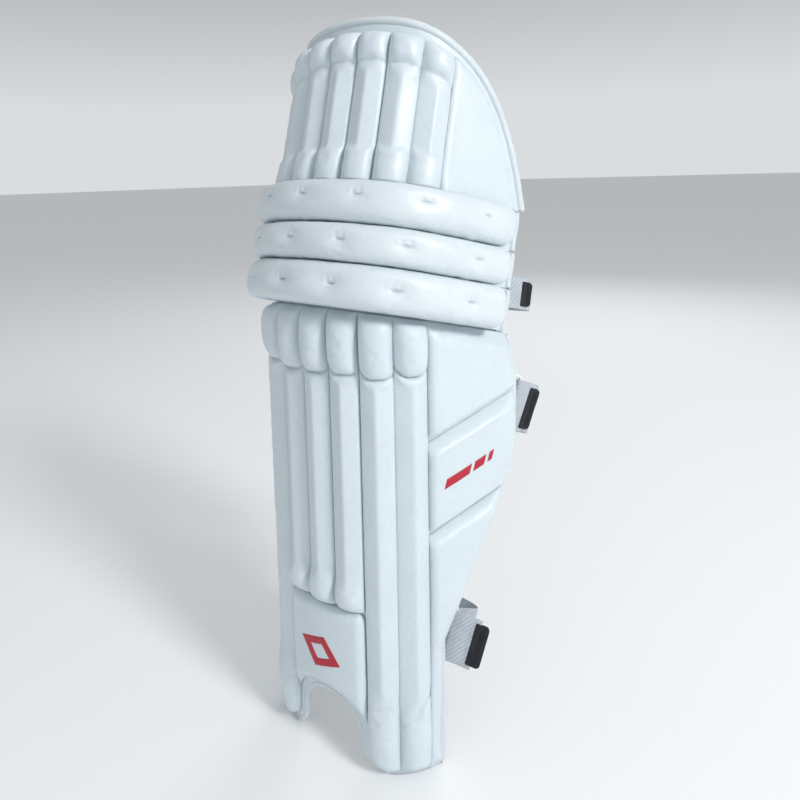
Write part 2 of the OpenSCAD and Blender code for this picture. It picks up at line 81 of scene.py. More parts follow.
def make_camera():
    """Camera at the viewing angle of the reference, with a small shift."""
    a, d, roll = radians(VIEW_AZIMUTH), radians(VIEW_DOWN), radians(VIEW_ROLL)
    ahead = Vector((-sin(a) * cos(d), cos(a) * cos(d), -sin(d)))
    level = ahead.cross(Vector((0, 0, 1))).normalized()
    up = level.cross(ahead)
    right = level * cos(roll) + up * sin(roll)
    top = up * cos(roll) - level * sin(roll)
    data = bpy.data.cameras.new("view")
    data.sensor_width = SENSOR_MM
    data.lens = FOCAL_MM
    data.shift_x, data.shift_y = SHIFT
    camera = bpy.data.objects.new("view", data)
    turned = Matrix((right, top, -ahead)).transposed().to_4x4()
    camera.matrix_world = Matrix.Translation(VIEW_FROM) @ turned
    bpy.context.scene.collection.objects.link(camera)
    bpy.context.scene.camera = camera


make_camera()

# ---------------------------------------------------------------- plan curve (mm)

PITCH = 30.0
FRONT_R = 156.0
SIDE_R = 73.0
WING_MAX = 205.0
FRONT_S = 1.5 * PITCH
WING_S = 3.5 * PITCH
FRONT_TURN = FRONT_S / FRONT_R
WING_TURN = FRONT_TURN + (WING_S - FRONT_S) / SIDE_R
FRONT_X = FRONT_R * sin(FRONT_TURN)
FRONT_Y = FRONT_R * (1 - cos(FRONT_TURN))
WING_X = FRONT_X + SIDE_R * (sin(WING_TURN) - sin(FRONT_TURN))
GROUND_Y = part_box("shin_backing")[0].y / MM
KNEE_Z = 480.0
LEAN = radians(15)
BACK_T = 4.0
SEAM = 0.4


def turn(s):
    """Heading of the plan curve at s, in radians."""
    q = np.abs(s)
    bent = np.where(
        q < FRONT_S,
        q / FRONT_R,
        FRONT_TURN + (np.minimum(q, WING_S) - FRONT_S) / SIDE_R,
    )
    return np.sign(s) * bent


def plan(s, off):
    """Plan x and y at a distance s round the curve and off out of it."""
    s = np.asarray(s, float)
    q = np.abs(s)
    a = np.abs(turn(s))
    flat = np.maximum(q - WING_S, 0)
    x = np.where(q < FRONT_S, FRONT_R * np.sin(a),
                 FRONT_X + SIDE_R * (np.sin(a) - sin(FRONT_TURN)))
    y = np.where(q < FRONT_S, FRONT_R * (1 - np.cos(a)),
                 FRONT_Y + SIDE_R * (cos(FRONT_TURN) - np.cos(a)))
    x = x + flat * cos(WING_TURN) + off * np.sin(a)
    y = y + flat * sin(WING_TURN) - off * np.cos(a)
    return np.where(s < 0, -x, x), y


def shin(s, off, z):
    """Point of the shin in space, in mm."""
    x, y = plan(s, off)
    return np.stack(np.broadcast_arrays(x, y + GROUND_Y, z), -1)


def knee(s, off, h):
    """Point of the leaning knee block in space, in mm."""
    x, y = plan(s, off)
    h = np.asarray(h, float)
    return np.stack(np.broadcast_arrays(
        x, y * cos(LEAN) + h * sin(LEAN) + GROUND_Y,
        KNEE_Z + h * cos(LEAN) - y * sin(LEAN)), -1)


def s_at_x(x):
    """Distance round the curve of the point with this x."""
    if x < FRONT_X:
        return asin(x / FRONT_R) * FRONT_R
    if x < WING_X:
        reach = (x - FRONT_X) / SIDE_R + sin(FRONT_TURN)
        return FRONT_S + SIDE_R * (asin(reach) - FRONT_TURN)
    return WING_S + (x - WING_X) / cos(WING_TURN)


EDGE_HIGH = 370.0
EDGE_MID = 335.0
EDGE_LOW = 281.0
EDGE_ROUND = 295.0
EDGE_SLOPE = 0.493
EDGE_MIN = 121.5


def edge_s(z):
    """Side edge of the shin wing: narrow below, a slope, then widest between two rounds."""
    z = np.asarray(z, float)
    slope = np.maximum(EDGE_MIN, 195 - (EDGE_LOW - z) * EDGE_SLOPE)
    beyond = np.where(z > EDGE_MID, np.maximum(z - EDGE_HIGH, 0), EDGE_MID - z)
    return np.where(z > EDGE_LOW, WING_MAX - beyond ** 2 / EDGE_ROUND, slope)


def shin_top(s, h=-18.4):
    """Height of the sloping plane under the rolls."""
    _, y = plan(s, 0.0)
    return KNEE_Z + h / cos(LEAN) - y * tan(LEAN)


ARCH_R = 38.0
ARCH_Z = 34.5
LOBE_R = 28.0


def arch_low(s, grow):
    """Lower outline of the shin's front at s, set in by grow."""
    x = np.abs(plan(s, 0.0)[0])
    over = ARCH_Z + np.sqrt(np.maximum((ARCH_R + grow) ** 2 - x ** 2, 0))
    corner = LOBE_R - np.sqrt(np.maximum(
        (LOBE_R - grow) ** 2 - (ARCH_R + LOBE_R - x) ** 2, 0))
    lobe = np.where(x < ARCH_R + LOBE_R, corner, grow)
    return np.where(x < ARCH_R + grow, over, lobe)


DOME_HALF = 131.0
DOME_ROUND = 20.0
DOME_SIDE = 128.0
FLAP_TOP = 248.0


def dome(x):
    """Outline of the top flap in front view."""
    r = np.minimum(np.abs(x) / DOME_HALF, 1)
    return FLAP_TOP - DOME_ROUND * r ** 2 - DOME_SIDE * r ** 7


# ---------------------------------------------------------------- small maths

def smooth(x):
    x = np.clip(x, 0, 1)
    return x * x * (3 - 2 * x)


def rise(d, w):
    """Quarter round: 0 at d = 0 and 1 from d = w on."""
    x = 1 - np.clip(np.asarray(d, float) / w, 0, 1)
    return np.sqrt(np.maximum(1 - x * x, 0))


def bump(x, mid, half):
    """Smooth bump, 1 at mid and 0 from half away."""
    return smooth(1 - np.abs(np.asarray(x, float) - mid) / half)


def grain(i, j, seed):
    n = np.sin(i * 127.1 + j * 311.7 + seed * 74.7) * 43758.5453
    return n - np.floor(n)


def noise(a, b, seed=0):
    """Smooth noise from -1 to 1 over two coordinates."""
    a, b = np.broadcast_arrays(np.asarray(a, float), np.asarray(b, float))
    i, j = np.floor(a), np.floor(b)
    p, q = smooth(a - i), smooth(b - j)
    low = grain(i, j, seed) * (1 - p) + grain(i + 1, j, seed) * p
    high = grain(i, j + 1, seed) * (1 - p) + grain(i + 1, j + 1, seed) * p
    return 2 * (low * (1 - q) + high * q) - 1


def steps(*spans):
    """Joined ranges (start, end, step), ends included once."""
    values = []
    for start, end, step in spans:
        count = max(1, round(abs(end - start) / step))
        values += list(np.linspace(start, end, count, endpoint=False))
    return np.array(values + [spans[-1][1]])


# ---------------------------------------------------------------- meshes

def make_object(name, points, faces, material, crease=None, weave=None):
    """Mesh object from points in mm, with normals outward and smooth shading."""
    mesh = bpy.data.meshes.new(name)
    mesh.from_pydata((np.asarray(points).reshape(-1, 3) * MM).tolist(), [], faces)
    work = bmesh.new()
    work.from_mesh(mesh)
    bmesh.ops.recalc_face_normals(work, faces=work.faces)
    work.to_mesh(mesh)
    work.free()
    mesh.shade_smooth()
    mesh.materials.append(material)
    # crease marks seams and folds: the leather and cloth materials paint shade there, with soiling,
    # and shell holds these points in the simulation.
    if crease is not None:
        layer = mesh.attributes.new("crease", "FLOAT", "POINT")
        layer.data.foreach_set("value", np.asarray(crease, np.float32).ravel())
    if weave is not None:
        layer = mesh.attributes.new("weave", "FLOAT_VECTOR", "POINT")
        layer.data.foreach_set("vector", np.asarray(weave, np.float32).ravel())
    obj = bpy.data.objects.new(name, mesh)
    bpy.context.scene.collection.objects.link(obj)
    return obj


def tube_faces(rows, sides, closed=False):
    """Faces of a tube of rings, capped unless it closes on itself."""
    last = rows if closed else rows - 1
    j, i = np.meshgrid(np.arange(last), np.arange(sides), indexing="ij")
    k, n = (j + 1) % rows, (i + 1) % sides
    quads = np.stack([j * sides + i, j * sides + n, k * sides + n, k * sides + i], -1)
    caps = [] if closed else [list(range(sides)),
                              list(range(rows * sides - 1, (rows - 1) * sides - 1, -1))]
    return quads.reshape(-1, 4).tolist() + caps


def grid_faces(rows, cols, start=0, flip=False):
    j, i = np.meshgrid(np.arange(rows - 1), np.arange(cols - 1), indexing="ij")
    a = (start + j * cols + i).ravel()
    quads = np.stack([a, a + 1, a + cols + 1, a + cols], -1)
    return (quads[:, ::-1] if flip else quads).tolist()


CANE_HOLD = 0.85


def shell(name, front, back, material, crease=None, stiff=0.0):
    """Closed piece from a front and a back grid of points."""
    rows, cols = front.shape[:2]
    count = rows * cols
    index = np.arange(count).reshape(rows, cols)
    rim = np.concatenate([index[0, :-1], index[:-1, -1], index[-1, :0:-1], index[:0:-1, 0]])
    after = np.roll(rim, -1)
    sides = np.stack([rim, rim + count, after + count, after], -1).tolist()
    faces = grid_faces(rows, cols) + grid_faces(rows, cols, count, True) + sides
    points = np.concatenate([front.reshape(-1, 3), back.reshape(-1, 3)])
    if crease is not None:
        flat = np.asarray(crease, float).ravel()
        crease = np.concatenate([flat, flat])
    obj = make_object(name, points, faces, material, crease)
    if crease is not None:
        held = np.maximum(smooth((flat - 0.25) * 3), CANE_HOLD * np.ravel(stiff))
        set_pins(obj, np.concatenate([held, np.ones(count)]))
    return obj


def set_pins(obj, pins):
    """Share of each point that is held by a seam, from 0 to 1."""
    layer = obj.data.attributes.new("pin", "FLOAT", "POINT")
    layer.data.foreach_set("value", np.asarray(pins, np.float32).ravel())


def frames_along(path, hint):
    """Unit directions ahead, across and up along a path, up near hint."""
    path = np.asarray(path, float)
    ahead = np.gradient(path, axis=0)
    ahead /= np.linalg.norm(ahead, axis=1)[:, None]
    hint = np.broadcast_to(np.asarray(hint, float), path.shape)
    across = np.cross(ahead, hint)
    across /= np.linalg.norm(across, axis=1)[:, None]
    return ahead, across, np.cross(across, ahead)


def sweep(name, path, hint, section, material, closed=False, scale=None, weave=None):
    """Section (across, up) swept along a path, capped unless closed; weave is its start in mm."""
    path = np.asarray(path, float)
    if closed:
        wide = np.concatenate([path[-1:], path, path[:1]])
        hints = np.broadcast_to(np.asarray(hint, float), path.shape)
        hints = np.concatenate([hints[-1:], hints, hints[:1]])
        across, up = [v[1:-1] for v in frames_along(wide, hints)[1:]]
    else:
        _, across, up = frames_along(path, hint)
    section = np.asarray(section, float)
    size = np.ones(len(path)) if scale is None else np.asarray(scale, float)
    rings = (path[:, None]
             + size[:, None, None] * (section[None, :, :1] * across[:, None]
                                      + section[None, :, 1:] * up[:, None]))
    count, sides = rings.shape[:2]
    layer = None
    if weave is not None:
        run = np.concatenate([[0], np.cumsum(np.linalg.norm(np.diff(path, axis=0), axis=1))])
        layer = np.zeros((count, sides, 3))
        layer[..., 0] = weave + run[:, None]
        layer[..., 1] = section[None, :, 0]
        layer[..., 2] = section[None, :, 1]
    return make_object(name, rings, tube_faces(count, sides, closed), material, None, layer)


def circle(r, sides=12):
    return [(r * cos(2 * pi * i / sides), r * sin(2 * pi * i / sides)) for i in range(sides)]


def strip(width, thick, rounds=4):
    """Section of a flat strap with round edges."""
    half, r = width / 2, thick / 2
    turns = np.linspace(-pi / 2, pi / 2, rounds + 1)
    right = [(half - r + r * cos(a), r * sin(a)) for a in turns]
    top = [(x, r) for x in np.linspace(half - r, r - half, 9)[1:-1]]
    left = [(-x, -y) for x, y in right]
    bottom = [(-x, -y) for x, y in top]
    return right + top + left + bottom


def join(name, parts, material):
    """One mesh from several (points, faces) lists."""
    points, faces = [], []
    for more, quads in parts:
        base = sum(len(p) for p in points)
        points.append(more)
        faces += [tuple(base + i for i in q) for q in quads]
    return make_object(name, np.concatenate(points), faces, material)


STITCH_RING = 5


def stitch_parts(path, normals, length=3.0, pitch=4.4, r=0.42):
    """Thread dashes along a path that bow out of the surface."""
    path = np.asarray(path, float)
    normals = np.broadcast_to(np.asarray(normals, float), path.shape)
    run = np.concatenate([[0], np.cumsum(np.linalg.norm(np.diff(path, axis=0), axis=1))])
    parts = []
    for n in range(int(run[-1] / pitch)):
        at = pitch * (n + 0.5) + np.linspace(-length / 2, length / 2, 4)
        centre = np.stack([np.interp(at, run, path[:, c]) for c in range(3)], -1)
        normal = np.stack([np.interp(at, run, normals[:, c]) for c in range(3)], -1)
        centre += normal * (np.array([-0.5, 0.15, 0.15, -0.5]) * r)[:, None]
        _, across, up = frames_along(centre, normal)
        size = r * np.array([0.45, 1, 1, 0.45])
        angle = 2 * pi * np.arange(STITCH_RING) / STITCH_RING
        ring = (centre[:, None]
                + size[:, None, None] * (np.cos(angle)[None, :, None] * across[:, None]
                                         + np.sin(angle)[None, :, None] * up[:, None]))
        parts.append((ring.reshape(-1, 3), tube_faces(len(at), STITCH_RING)))
    return parts


def outward(point, s, z):
    """Direction out of the pad at s and z."""
    way = point(s, 1.0, z) - point(s, 0.0, z)
    return way / np.linalg.norm(way, axis=-1, keepdims=True)


# ---------------------------------------------------------------- materials

def grey(v):
    return (v, v, v)


class Shade:
    """A material in the making: textures over object coordinates, sums, ramps and relief."""

    def __init__(self, name):
        self.material = bpy.data.materials.new(name)
        self.material.use_nodes = True
        self.nodes = self.material.node_tree.nodes
        self.links = self.material.node_tree.links
        self.shader = self.nodes["Principled BSDF"]
        self.where = self.nodes.new("ShaderNodeTexCoord").outputs["Object"]

    def add(self, kind, **values):
        """New node, with its fields or sockets set by name."""
        node = self.nodes.new("ShaderNode" + kind)
        for key, value in values.items():
            if hasattr(node, key):
                setattr(node, key, value)
            else:
                node.inputs[key.replace("_", " ")].default_value = value
        return node

    def texture(self, kind, scale, **values):
        node = self.add(kind, Scale=scale, **values)
        self.links.new(self.where, node.inputs["Vector"])
        return node.outputs[0]

    def noise(self, scale, detail, roughness=0.5, **values):
        return self.texture("TexNoise", scale, Detail=detail, Roughness=roughness, **values)

    def attribute(self, name, output):
        return self.add("Attribute", attribute_name=name).outputs[output]

    def maths(self, operation, *terms):
        """Sum of sockets and plain numbers."""
        node = self.add("Math", operation=operation)
        for socket, term in zip(node.inputs, terms):
            if isinstance(term, float):
                socket.default_value = term
            else:
                self.links.new(term, socket)
        return node.outputs[0]

    def ramp(self, source, low, high, first, second):
        """Maps the values from low to high to the colours from first to second."""
        node = self.add("ValToRGB")
        ends = node.color_ramp.elements
        ends[0].position, ends[1].position = low, high
        ends[0].color, ends[1].color = (*first, 1), (*second, 1)
        self.links.new(source, node.inputs[0])
        return node.outputs[0]

    def tint(self, under, over, share):
        """Colour under multiplied by the colour over."""
        node = self.add("Mix", data_type="RGBA", blend_type="MULTIPLY")
        node.inputs[0].default_value = share
        self.links.new(under, node.inputs[6])
        self.links.new(over, node.inputs[7])
        return node.outputs[2]

    def finish(self, colour, rough, height, strength, distance, **fixed):
        """Links colour, roughness and relief to the shader, and sets its fixed sockets."""
        relief = self.add("Bump", Strength=strength, Distance=distance)
        self.links.new(height, relief.inputs["Height"])
        self.links.new(colour, self.shader.inputs["Base Color"])
        self.links.new(relief.outputs[0], self.shader.inputs["Normal"])
        if isinstance(rough, float):
            self.shader.inputs["Roughness"].default_value = rough
        else:
            self.links.new(rough, self.shader.inputs["Roughness"])
        for key, value in fixed.items():
            self.shader.inputs[key.replace("_", " ")].default_value = value
        return self.material


def darker(colour, share):
    return [c * share for c in colour]


def leather_material(name, colour, rough=0.40, grain_size=1.0):
    """White coated leather: pebble grain, fine creases, painted shade with faint soiling in the
    seams.
    """
    m = Shade(name)
    cloud = m.noise(14.0, 3.0, 0.55)
    base = m.ramp(cloud, 0.3, 0.7, darker(colour, 0.955), colour)
    spots = m.ramp(m.noise(210.0, 4.0, 0.6), 0.28, 0.62, grey(0.955), grey(1.0))
    base = m.tint(base, spots, 1.0)
    # Painted shade with faint soiling in the seams and creases: darker where the crease mask is high,
    # unevenly.
    crease_shade_mask = m.maths("MULTIPLY", m.attribute("crease", "Fac"), m.noise(60.0, 4.0, 0.6))
    crease_shade_and_soil = m.ramp(crease_shade_mask, 0.10, 0.62, grey(1.0), (0.66, 0.69, 0.67))
    base = m.tint(base, crease_shade_and_soil, 0.75)
    pebble = m.texture("TexVoronoi", 1150.0 / grain_size, feature="SMOOTH_F1", Smoothness=0.55)
    wrinkle = m.noise(330.0 / grain_size, 5.0, 0.62, Distortion=0.6)
    height = m.maths("MULTIPLY_ADD", pebble, 0.55, wrinkle)
    shine = m.ramp(cloud, 0.3, 0.72, grey(rough - 0.05), grey(rough + 0.07))
    return m.finish(base, shine, height, 0.16, 0.0004,
                    Specular_IOR_Level=0.42, Coat_Weight=0.10, Coat_Roughness=0.32)


def cloth_material(name, colour):
    """Brushed knit lining: fine loops, soft pile, and painted shade with soiling along the sewn
    lines.
    """
    m = Shade(name)
    base = m.ramp(m.noise(25.0, 4.0), 0.3, 0.7, darker(colour, 0.93), colour)
    loops = m.texture("TexVoronoi", 900.0)
    base = m.tint(base, m.ramp(loops, 0.05, 0.6, grey(1.0), grey(0.86)), 0.8)
    # Painted shade with soiling along the sewn lines and creases, from the crease mask.
    crease_shade_and_soil = m.ramp(m.attribute("crease", "Fac"), 0.1, 1.0, grey(1.0), grey(0.74))
    base = m.tint(base, crease_shade_and_soil, 0.7)
    fuzz = m.noise(700.0, 6.0, 0.7)
    rough = m.ramp(fuzz, 0.3, 0.7, grey(0.82), grey(0.96))
    return m.finish(base, rough, m.maths("SUBTRACT", fuzz, loops), 0.5, 0.0006,
                    Sheen_Weight=0.25, Sheen_Roughness=0.5)


def webbing_material(name, colour):
    """Woven strap: diagonal ribs over a fine plain weave, from the weave attribute in mm."""
    m = Shade(name)
    axes = m.add("SeparateXYZ")
    m.links.new(m.attribute("weave", "Vector"), axes.inputs[0])
    along, across, _ = axes.outputs

    def wave(source, period):
        return m.maths("SINE", m.maths("MULTIPLY_ADD", source, 2 * pi / period, 0.0))

    twill = wave(m.maths("MULTIPLY_ADD", across, 0.8, along), 4.2)
    plain = m.maths("MULTIPLY", wave(along, 1.3), wave(across, 1.05))
    height = m.maths("MULTIPLY_ADD", twill, 0.7, plain)
    height = m.maths("MULTIPLY_ADD", height, 0.25, 0.5)
    base = m.ramp(height, 0.1, 0.85, darker(colour, 0.62), colour)
    shade = m.ramp(m.noise(90.0, 5.0), 0.3, 0.7, grey(0.88), grey(1.0))
    rough = m.ramp(height, 0.1, 0.9, grey(0.82), grey(0.62))
    return m.finish(m.tint(base, shade, 1.0), rough, height, 0.7, 0.0004, Sheen_Weight=0.2)


def moulded_material(name, colour, rough, scratch):
    """Moulded rubber or plastic: fine pits, scuffs and worn edges."""
    m = Shade(name)
    scuff = m.noise(120.0, 7.0, 0.7)
    worn = [min(1, c * 1.25 + scratch) for c in colour]
    base = m.ramp(scuff, 0.45, 0.78, colour, worn)
    shine = m.ramp(scuff, 0.3, 0.75, grey(rough), grey(rough + 0.15))
    return m.finish(base, shine, m.noise(1600.0, 3.0), 0.25, 0.0003, Specular_IOR_Level=0.4)


def cane_material(name, colour):
    """Split cane: long fibres."""
    m = Shade(name)
    stretch = m.add("Mapping", Scale=(900, 900, 18))
    m.links.new(m.where, stretch.inputs[0])
    m.where = stretch.outputs[0]
    fibres = m.noise(1.0, 5.0, 0.65)
    base = m.ramp(fibres, 0.3, 0.75, darker(colour, 0.6), colour)
    return m.finish(base, 0.55, fibres, 0.5, 0.0004)


def print_material(name, colour):
    """Printed ink: a thin glossy film with tiny gaps over the grain."""
    m = Shade(name)
    grainy = m.noise(900.0, 4.0, 0.7)
    base = m.ramp(grainy, 0.25, 0.6, darker(colour, 0.7), colour)
    rough = m.ramp(grainy, 0.3, 0.7, grey(0.32), grey(0.45))
    return m.finish(base, rough, grainy, 0.2, 0.0003)


WHITE = (0.67, 0.755, 0.805)
PAD = leather_material("pad_leather", WHITE)
ROLL = leather_material("roll_leather", (0.70, 0.775, 0.82), 0.42)
BINDING = leather_material("binding_leather", (0.67, 0.745, 0.785), 0.45, 0.8)
LINING = cloth_material("lining_cloth", (0.80, 0.82, 0.82))
WEBBING = webbing_material("webbing", (0.60, 0.66, 0.73))
THREAD = cloth_material("thread", (0.62, 0.68, 0.72))
RUBBER = moulded_material("pull_tab", (0.006, 0.008, 0.014), 0.42, 0.012)
PLASTIC = moulded_material("ring_plastic", (0.74, 0.77, 0.80), 0.35, 0.05)
CANE = cane_material("cane", (0.62, 0.45, 0.24))
FOAM = cloth_material("foam", (0.80, 0.76, 0.60))
INK = print_material("red_print", (0.50, 0.007, 0.032))


def finish_piece(obj, body, nodes=()):
    """Puts a piece on its body and hides the parts it stands for."""
    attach(obj, body)
    if nodes:
        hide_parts(*nodes)
    return obj


# ---------------------------------------------------------------- channels

soft_pieces = []
CHANNELS = range(-3, 4)
HALF_BAR = PITCH / 2 - 0.03
BASE_OFF = 0.7
BAR_H = 11.4
ROOF_SHOULDER = 0.34
FLAT_SEAM = 0.8


def seam_floor(k, t):
    """Share of the shoulder left at a border: the two outer seams are sewn flat."""
    flat_right = smooth(t * 3) * (k in (-3, 2, 3))
    flat_left = smooth(-t * 3) * (k in (-3, -2, 3))
    return FLAT_SEAM * np.maximum(flat_right, flat_left)


def cross_section(k, t, sharp):
    """Height share across a channel: a roof over cane or a plain round."""
    ridge = np.sqrt(t ** 2 + 0.004)
    floor = seam_floor(k, t)
    border = floor + (1 - floor) * rise(1 - np.abs(t), 0.17)
    roof = (ROOF_SHOULDER + (1 - ROOF_SHOULDER) * (1 - ridge)) * border
    full = np.sqrt(np.maximum(1 - np.abs(t) ** 2.3, 0))
    full = np.maximum(full, floor * ROOF_SHOULDER)
    return sharp * roof + (1 - sharp) * full


def unevenness(s, z, seed):
    """Slow, slight waviness of padding, in mm."""
    return 0.30 * noise(s / 17, z / 29, seed) + 0.13 * noise(s / 6.5, z / 10, seed + 3)


CREASE_Z = 401.0
HEAD_H = 16.5
PATCH_Z = 168.0
NECK_H = 3.6
FOOT_SWELL = 4.0
LOBE_SWELL = 2.6
LOBE_Z = 44.0


def head_line(k, t):
    """Height of the crease under the head of a shin channel: a smile, a little uneven."""
    right = 9.0 if k == 3 else 3.5
    smile = 10 * np.maximum(-t, 0) ** 2.6 + right * np.maximum(t, 0) ** 4
    return CREASE_Z + smile + 1.5 * sin(2.1 * k)


def shin_channel_surface(k, t, z, low, top):
    """Off of a shin channel: head, cane bar, and swollen foot or lobe."""
    s = k * PITCH + HALF_BAR * t
    line = head_line(k, t)
    bar = NECK_H + (BAR_H - NECK_H) * rise(line - z, 9)
    w = np.clip((z - line) / (top - line), 0, 1)
    round_head = np.sqrt(np.maximum(1 - np.abs(2 * w - 0.94) ** 2.9, 0))
    head = NECK_H + (HEAD_H - NECK_H) * round_head
    is_head = z > line
    sharp = np.where(is_head, 0.0, smooth((line - z - 3) / 10))
    height = np.where(is_head, head, bar)
    foot = z - low
    crease = np.exp(-((z - line) / 2.2) ** 2)
    if abs(k) <= 1:
        sharp = sharp * smooth((foot - 22) / 18)
        height = height + FOOT_SWELL * bump(foot, 17, 18)
        height = height * rise(foot, 11)
        crease = np.maximum(crease, 1 - rise(foot, 4))
    else:
        outer = abs(k) == 3
        side = t * np.sign(k)
        joint = (71 + 13 * side) if outer else (76 + 3 * side)
        sharp = sharp * smooth((z - joint - 2) / 24)
        dip = (4.4 if outer else 1.1) * smooth(0.6 + side)
        width = np.where(z > joint, 7.0, 2.6)
        height = height - dip * np.exp(-((z - joint) / width) ** 2)
        height = height + LOBE_SWELL * bump(z, LOBE_Z, 32)
        height = height * rise(foot, 12)
        if outer:
            crease = np.maximum(crease, 0.6 * np.exp(-((z - joint) / 2) ** 2))
    wrinkle = np.where(is_head, 0.45, 0.0) * noise(z / 3.4 + 1.5 * np.abs(t), t * 1.3, k + 20)
    wrinkle = wrinkle * smooth(np.abs(t) * 2 - 0.5) * (1 - np.abs(t))
    tuck = np.where(is_head, 1.0, 0.4) * 0.5 * noise(z / 5.5, t * 2.2, k + 40)
    off = BASE_OFF + height * cross_section(k, t, sharp)
    off = off + (unevenness(s, z, k) + wrinkle * 2 + tuck * smooth(1 - np.abs(t))) * (1 - t ** 2)
    crease = np.maximum(crease, 1 - rise(1 - np.abs(t), 0.12))
    return s, off, crease, sharp


def across_steps():
    """Values from -1 to 1, closer together at the seams."""
    inner = np.linspace(-0.84, 0.84, 21)
    rim = np.array([0.99, 0.965, 0.93, 0.885])
    return np.concatenate([[-1], -rim, inner, rim[::-1], [1]])


LOBE_INSET = 8.0
BAR_TOP = 385.0
HEAD_MID = 424.0
ROWS_TOP = 460.0
TOP_GAP = 0.8


def make_shin_channel(k):
    t = across_steps()[None, :]
    s = k * PITCH + HALF_BAR * t
    top = shin_top(s) - TOP_GAP
    if abs(k) <= 1:
        floor, fade = PATCH_Z + 1.0, PATCH_Z + 20
        low = np.full_like(s, floor)
        below = [(floor, 182, 1.2), (182, 215, 2.5), (215, BAR_TOP, 6)]
    else:
        floor, fade = LOBE_INSET, 105.0
        low = arch_low(s, LOBE_INSET)
        below = [(floor, 22, 1.2), (22, 100, 2.0), (100, BAR_TOP, 6)]
    rows = steps(*below, (BAR_TOP, HEAD_MID, 1.3), (HEAD_MID, ROWS_TOP, 2.0))[:, None]
    stretch = (top - HEAD_MID) / (ROWS_TOP - HEAD_MID)
    z = np.where(rows < fade, low + (rows - floor) * (fade - low) / (fade - floor), rows)
    z = np.where(rows > HEAD_MID, HEAD_MID + (rows - HEAD_MID) * stretch, z)
    s, off, crease, sharp = shin_channel_surface(k, t + 0 * z, z, low, top)
    name = "shin_channel_%d" % (k + 4)
    obj = shell(name + "_pad", shin(s, off, z), shin(s, 0.25, z), PAD, crease, sharp)
    finish_piece(obj, "shin", [name])
    soft_pieces.append(obj)


for k in CHANNELS:
    make_shin_channel(k)


# ---------------------------------------------------------------- instep patch

PATCH_H = 8.6
PATCH_INSET = 9.0


def make_instep_patch():
    half = FRONT_S - SEAM
    s = np.concatenate([[-1], np.linspace(-0.985, 0.985, 60), [1]])[None, :] * half
    low = arch_low(s, PATCH_INSET)
    v = np.concatenate([[0, 0.004, 0.012, 0.025], np.linspace(0.04, 0.96, 50),
                        [0.975, 0.988, 0.996, 1]])[:, None]
    top = PATCH_Z - 9 * (1 - rise(half - np.abs(s), 9))
    z = low + (top - low) * v
    x = plan(s, 0.0)[0]
    arch_d = np.hypot(x, np.maximum(z - ARCH_Z, 0)) - ARCH_R - PATCH_INSET
    border = rise(arch_d + 0.3, 11) * rise(top - z, 10) * rise(half - np.abs(s), 9)
    swell = 1 + 0.10 * np.cos(s / half * 1.3) + 0.08 * bump(z, 92, 30)
    off = BASE_OFF + PATCH_H * border * swell + unevenness(s, z, 9) * border
    crease = 1 - rise(half - np.abs(s), 2.5) * rise(top - z, 3) * rise(arch_d + 0.3, 3)
    obj = shell("instep_patch_pad", shin(s, off, z), shin(s, 0.25, z), PAD, crease)
    finish_piece(obj, "shin", ["instep_patch"])
    return s, z, off


patch_grid = make_instep_patch()


def on_surface(grid, s, z):
    """Off of a piece at s and z, from its own grid."""
    ps, pz, off = grid
    ps = np.broadcast_to(ps, off.shape)
    gap = (ps[None] - s.ravel()[:, None, None]) ** 2 + (pz[None] - z.ravel()[:, None, None]) ** 2
    near = gap.reshape(len(gap), -1)
    best = np.argsort(near, axis=1)[:, :4]
    share = 1 / (np.take_along_axis(near, best, 1) + 0.05)
    value = (np.take(off.ravel(), best) * share).sum(1) / share.sum(1)
    return value.reshape(s.shape)


INK_OUT = 0.32
INK_IN = -0.6
MARK_S = -2.0
MARK_Z = 118.0
MARK_HALF = (24.0, 18.0)
MARK_TURN = radians(-18)


def make_mark():
    """Plain lozenge with a lozenge hole, printed on the patch."""
    steps_round, rings = 64, 5
    a = np.linspace(0, 2 * pi, steps_round, endpoint=False)[None, :]
    ring = np.linspace(0, 1, rings)[:, None]
    reach = 1 / (np.abs(np.cos(a)) + np.abs(np.sin(a)))
    size = 0.50 + 0.50 * ring
    u = MARK_HALF[0] * reach * size * np.cos(a)
    v = MARK_HALF[1] * reach * size * np.sin(a)
    s = MARK_S + u * cos(MARK_TURN) - v * sin(MARK_TURN)
    z = MARK_Z + u * sin(MARK_TURN) + v * cos(MARK_TURN)
    off = on_surface(patch_grid, s, z)
    front, back = shin(s, off + INK_OUT, z), shin(s, off + INK_IN, z)
    points = np.concatenate([front, back[::-1]]).transpose(1, 0, 2)
    mark = make_object("patch_print", points, tube_faces(steps_round, 2 * rings, True), INK)
    finish_piece(mark, "shin")


make_mark()

# ---------------------------------------------------------------- wings

GROOVE_SLOPE = 0.37
LOW_GROOVE = 245.0
HIGH_GROOVE = 335.0
GROOVE_W = 2.0
WING_H = 10.4
EDGE_INSET = 3.0
HEEL_R = 9.0
DASHES = ((119, 146), (150, 162), (166, 171))
DASH_Z = 291.0
DASH_HALF = 4.2
DASH_SLANT = 1.4


def groove(z0, s):
    return z0 + (s - WING_S) * GROOVE_SLOPE


def bevel(d, w):
    """Slope with a rounded upper corner: 0 at d = 0 and 1 from d = w on."""
    x = np.clip(d / w, 0, 1)
    return 1 - (1 - x) ** 1.3


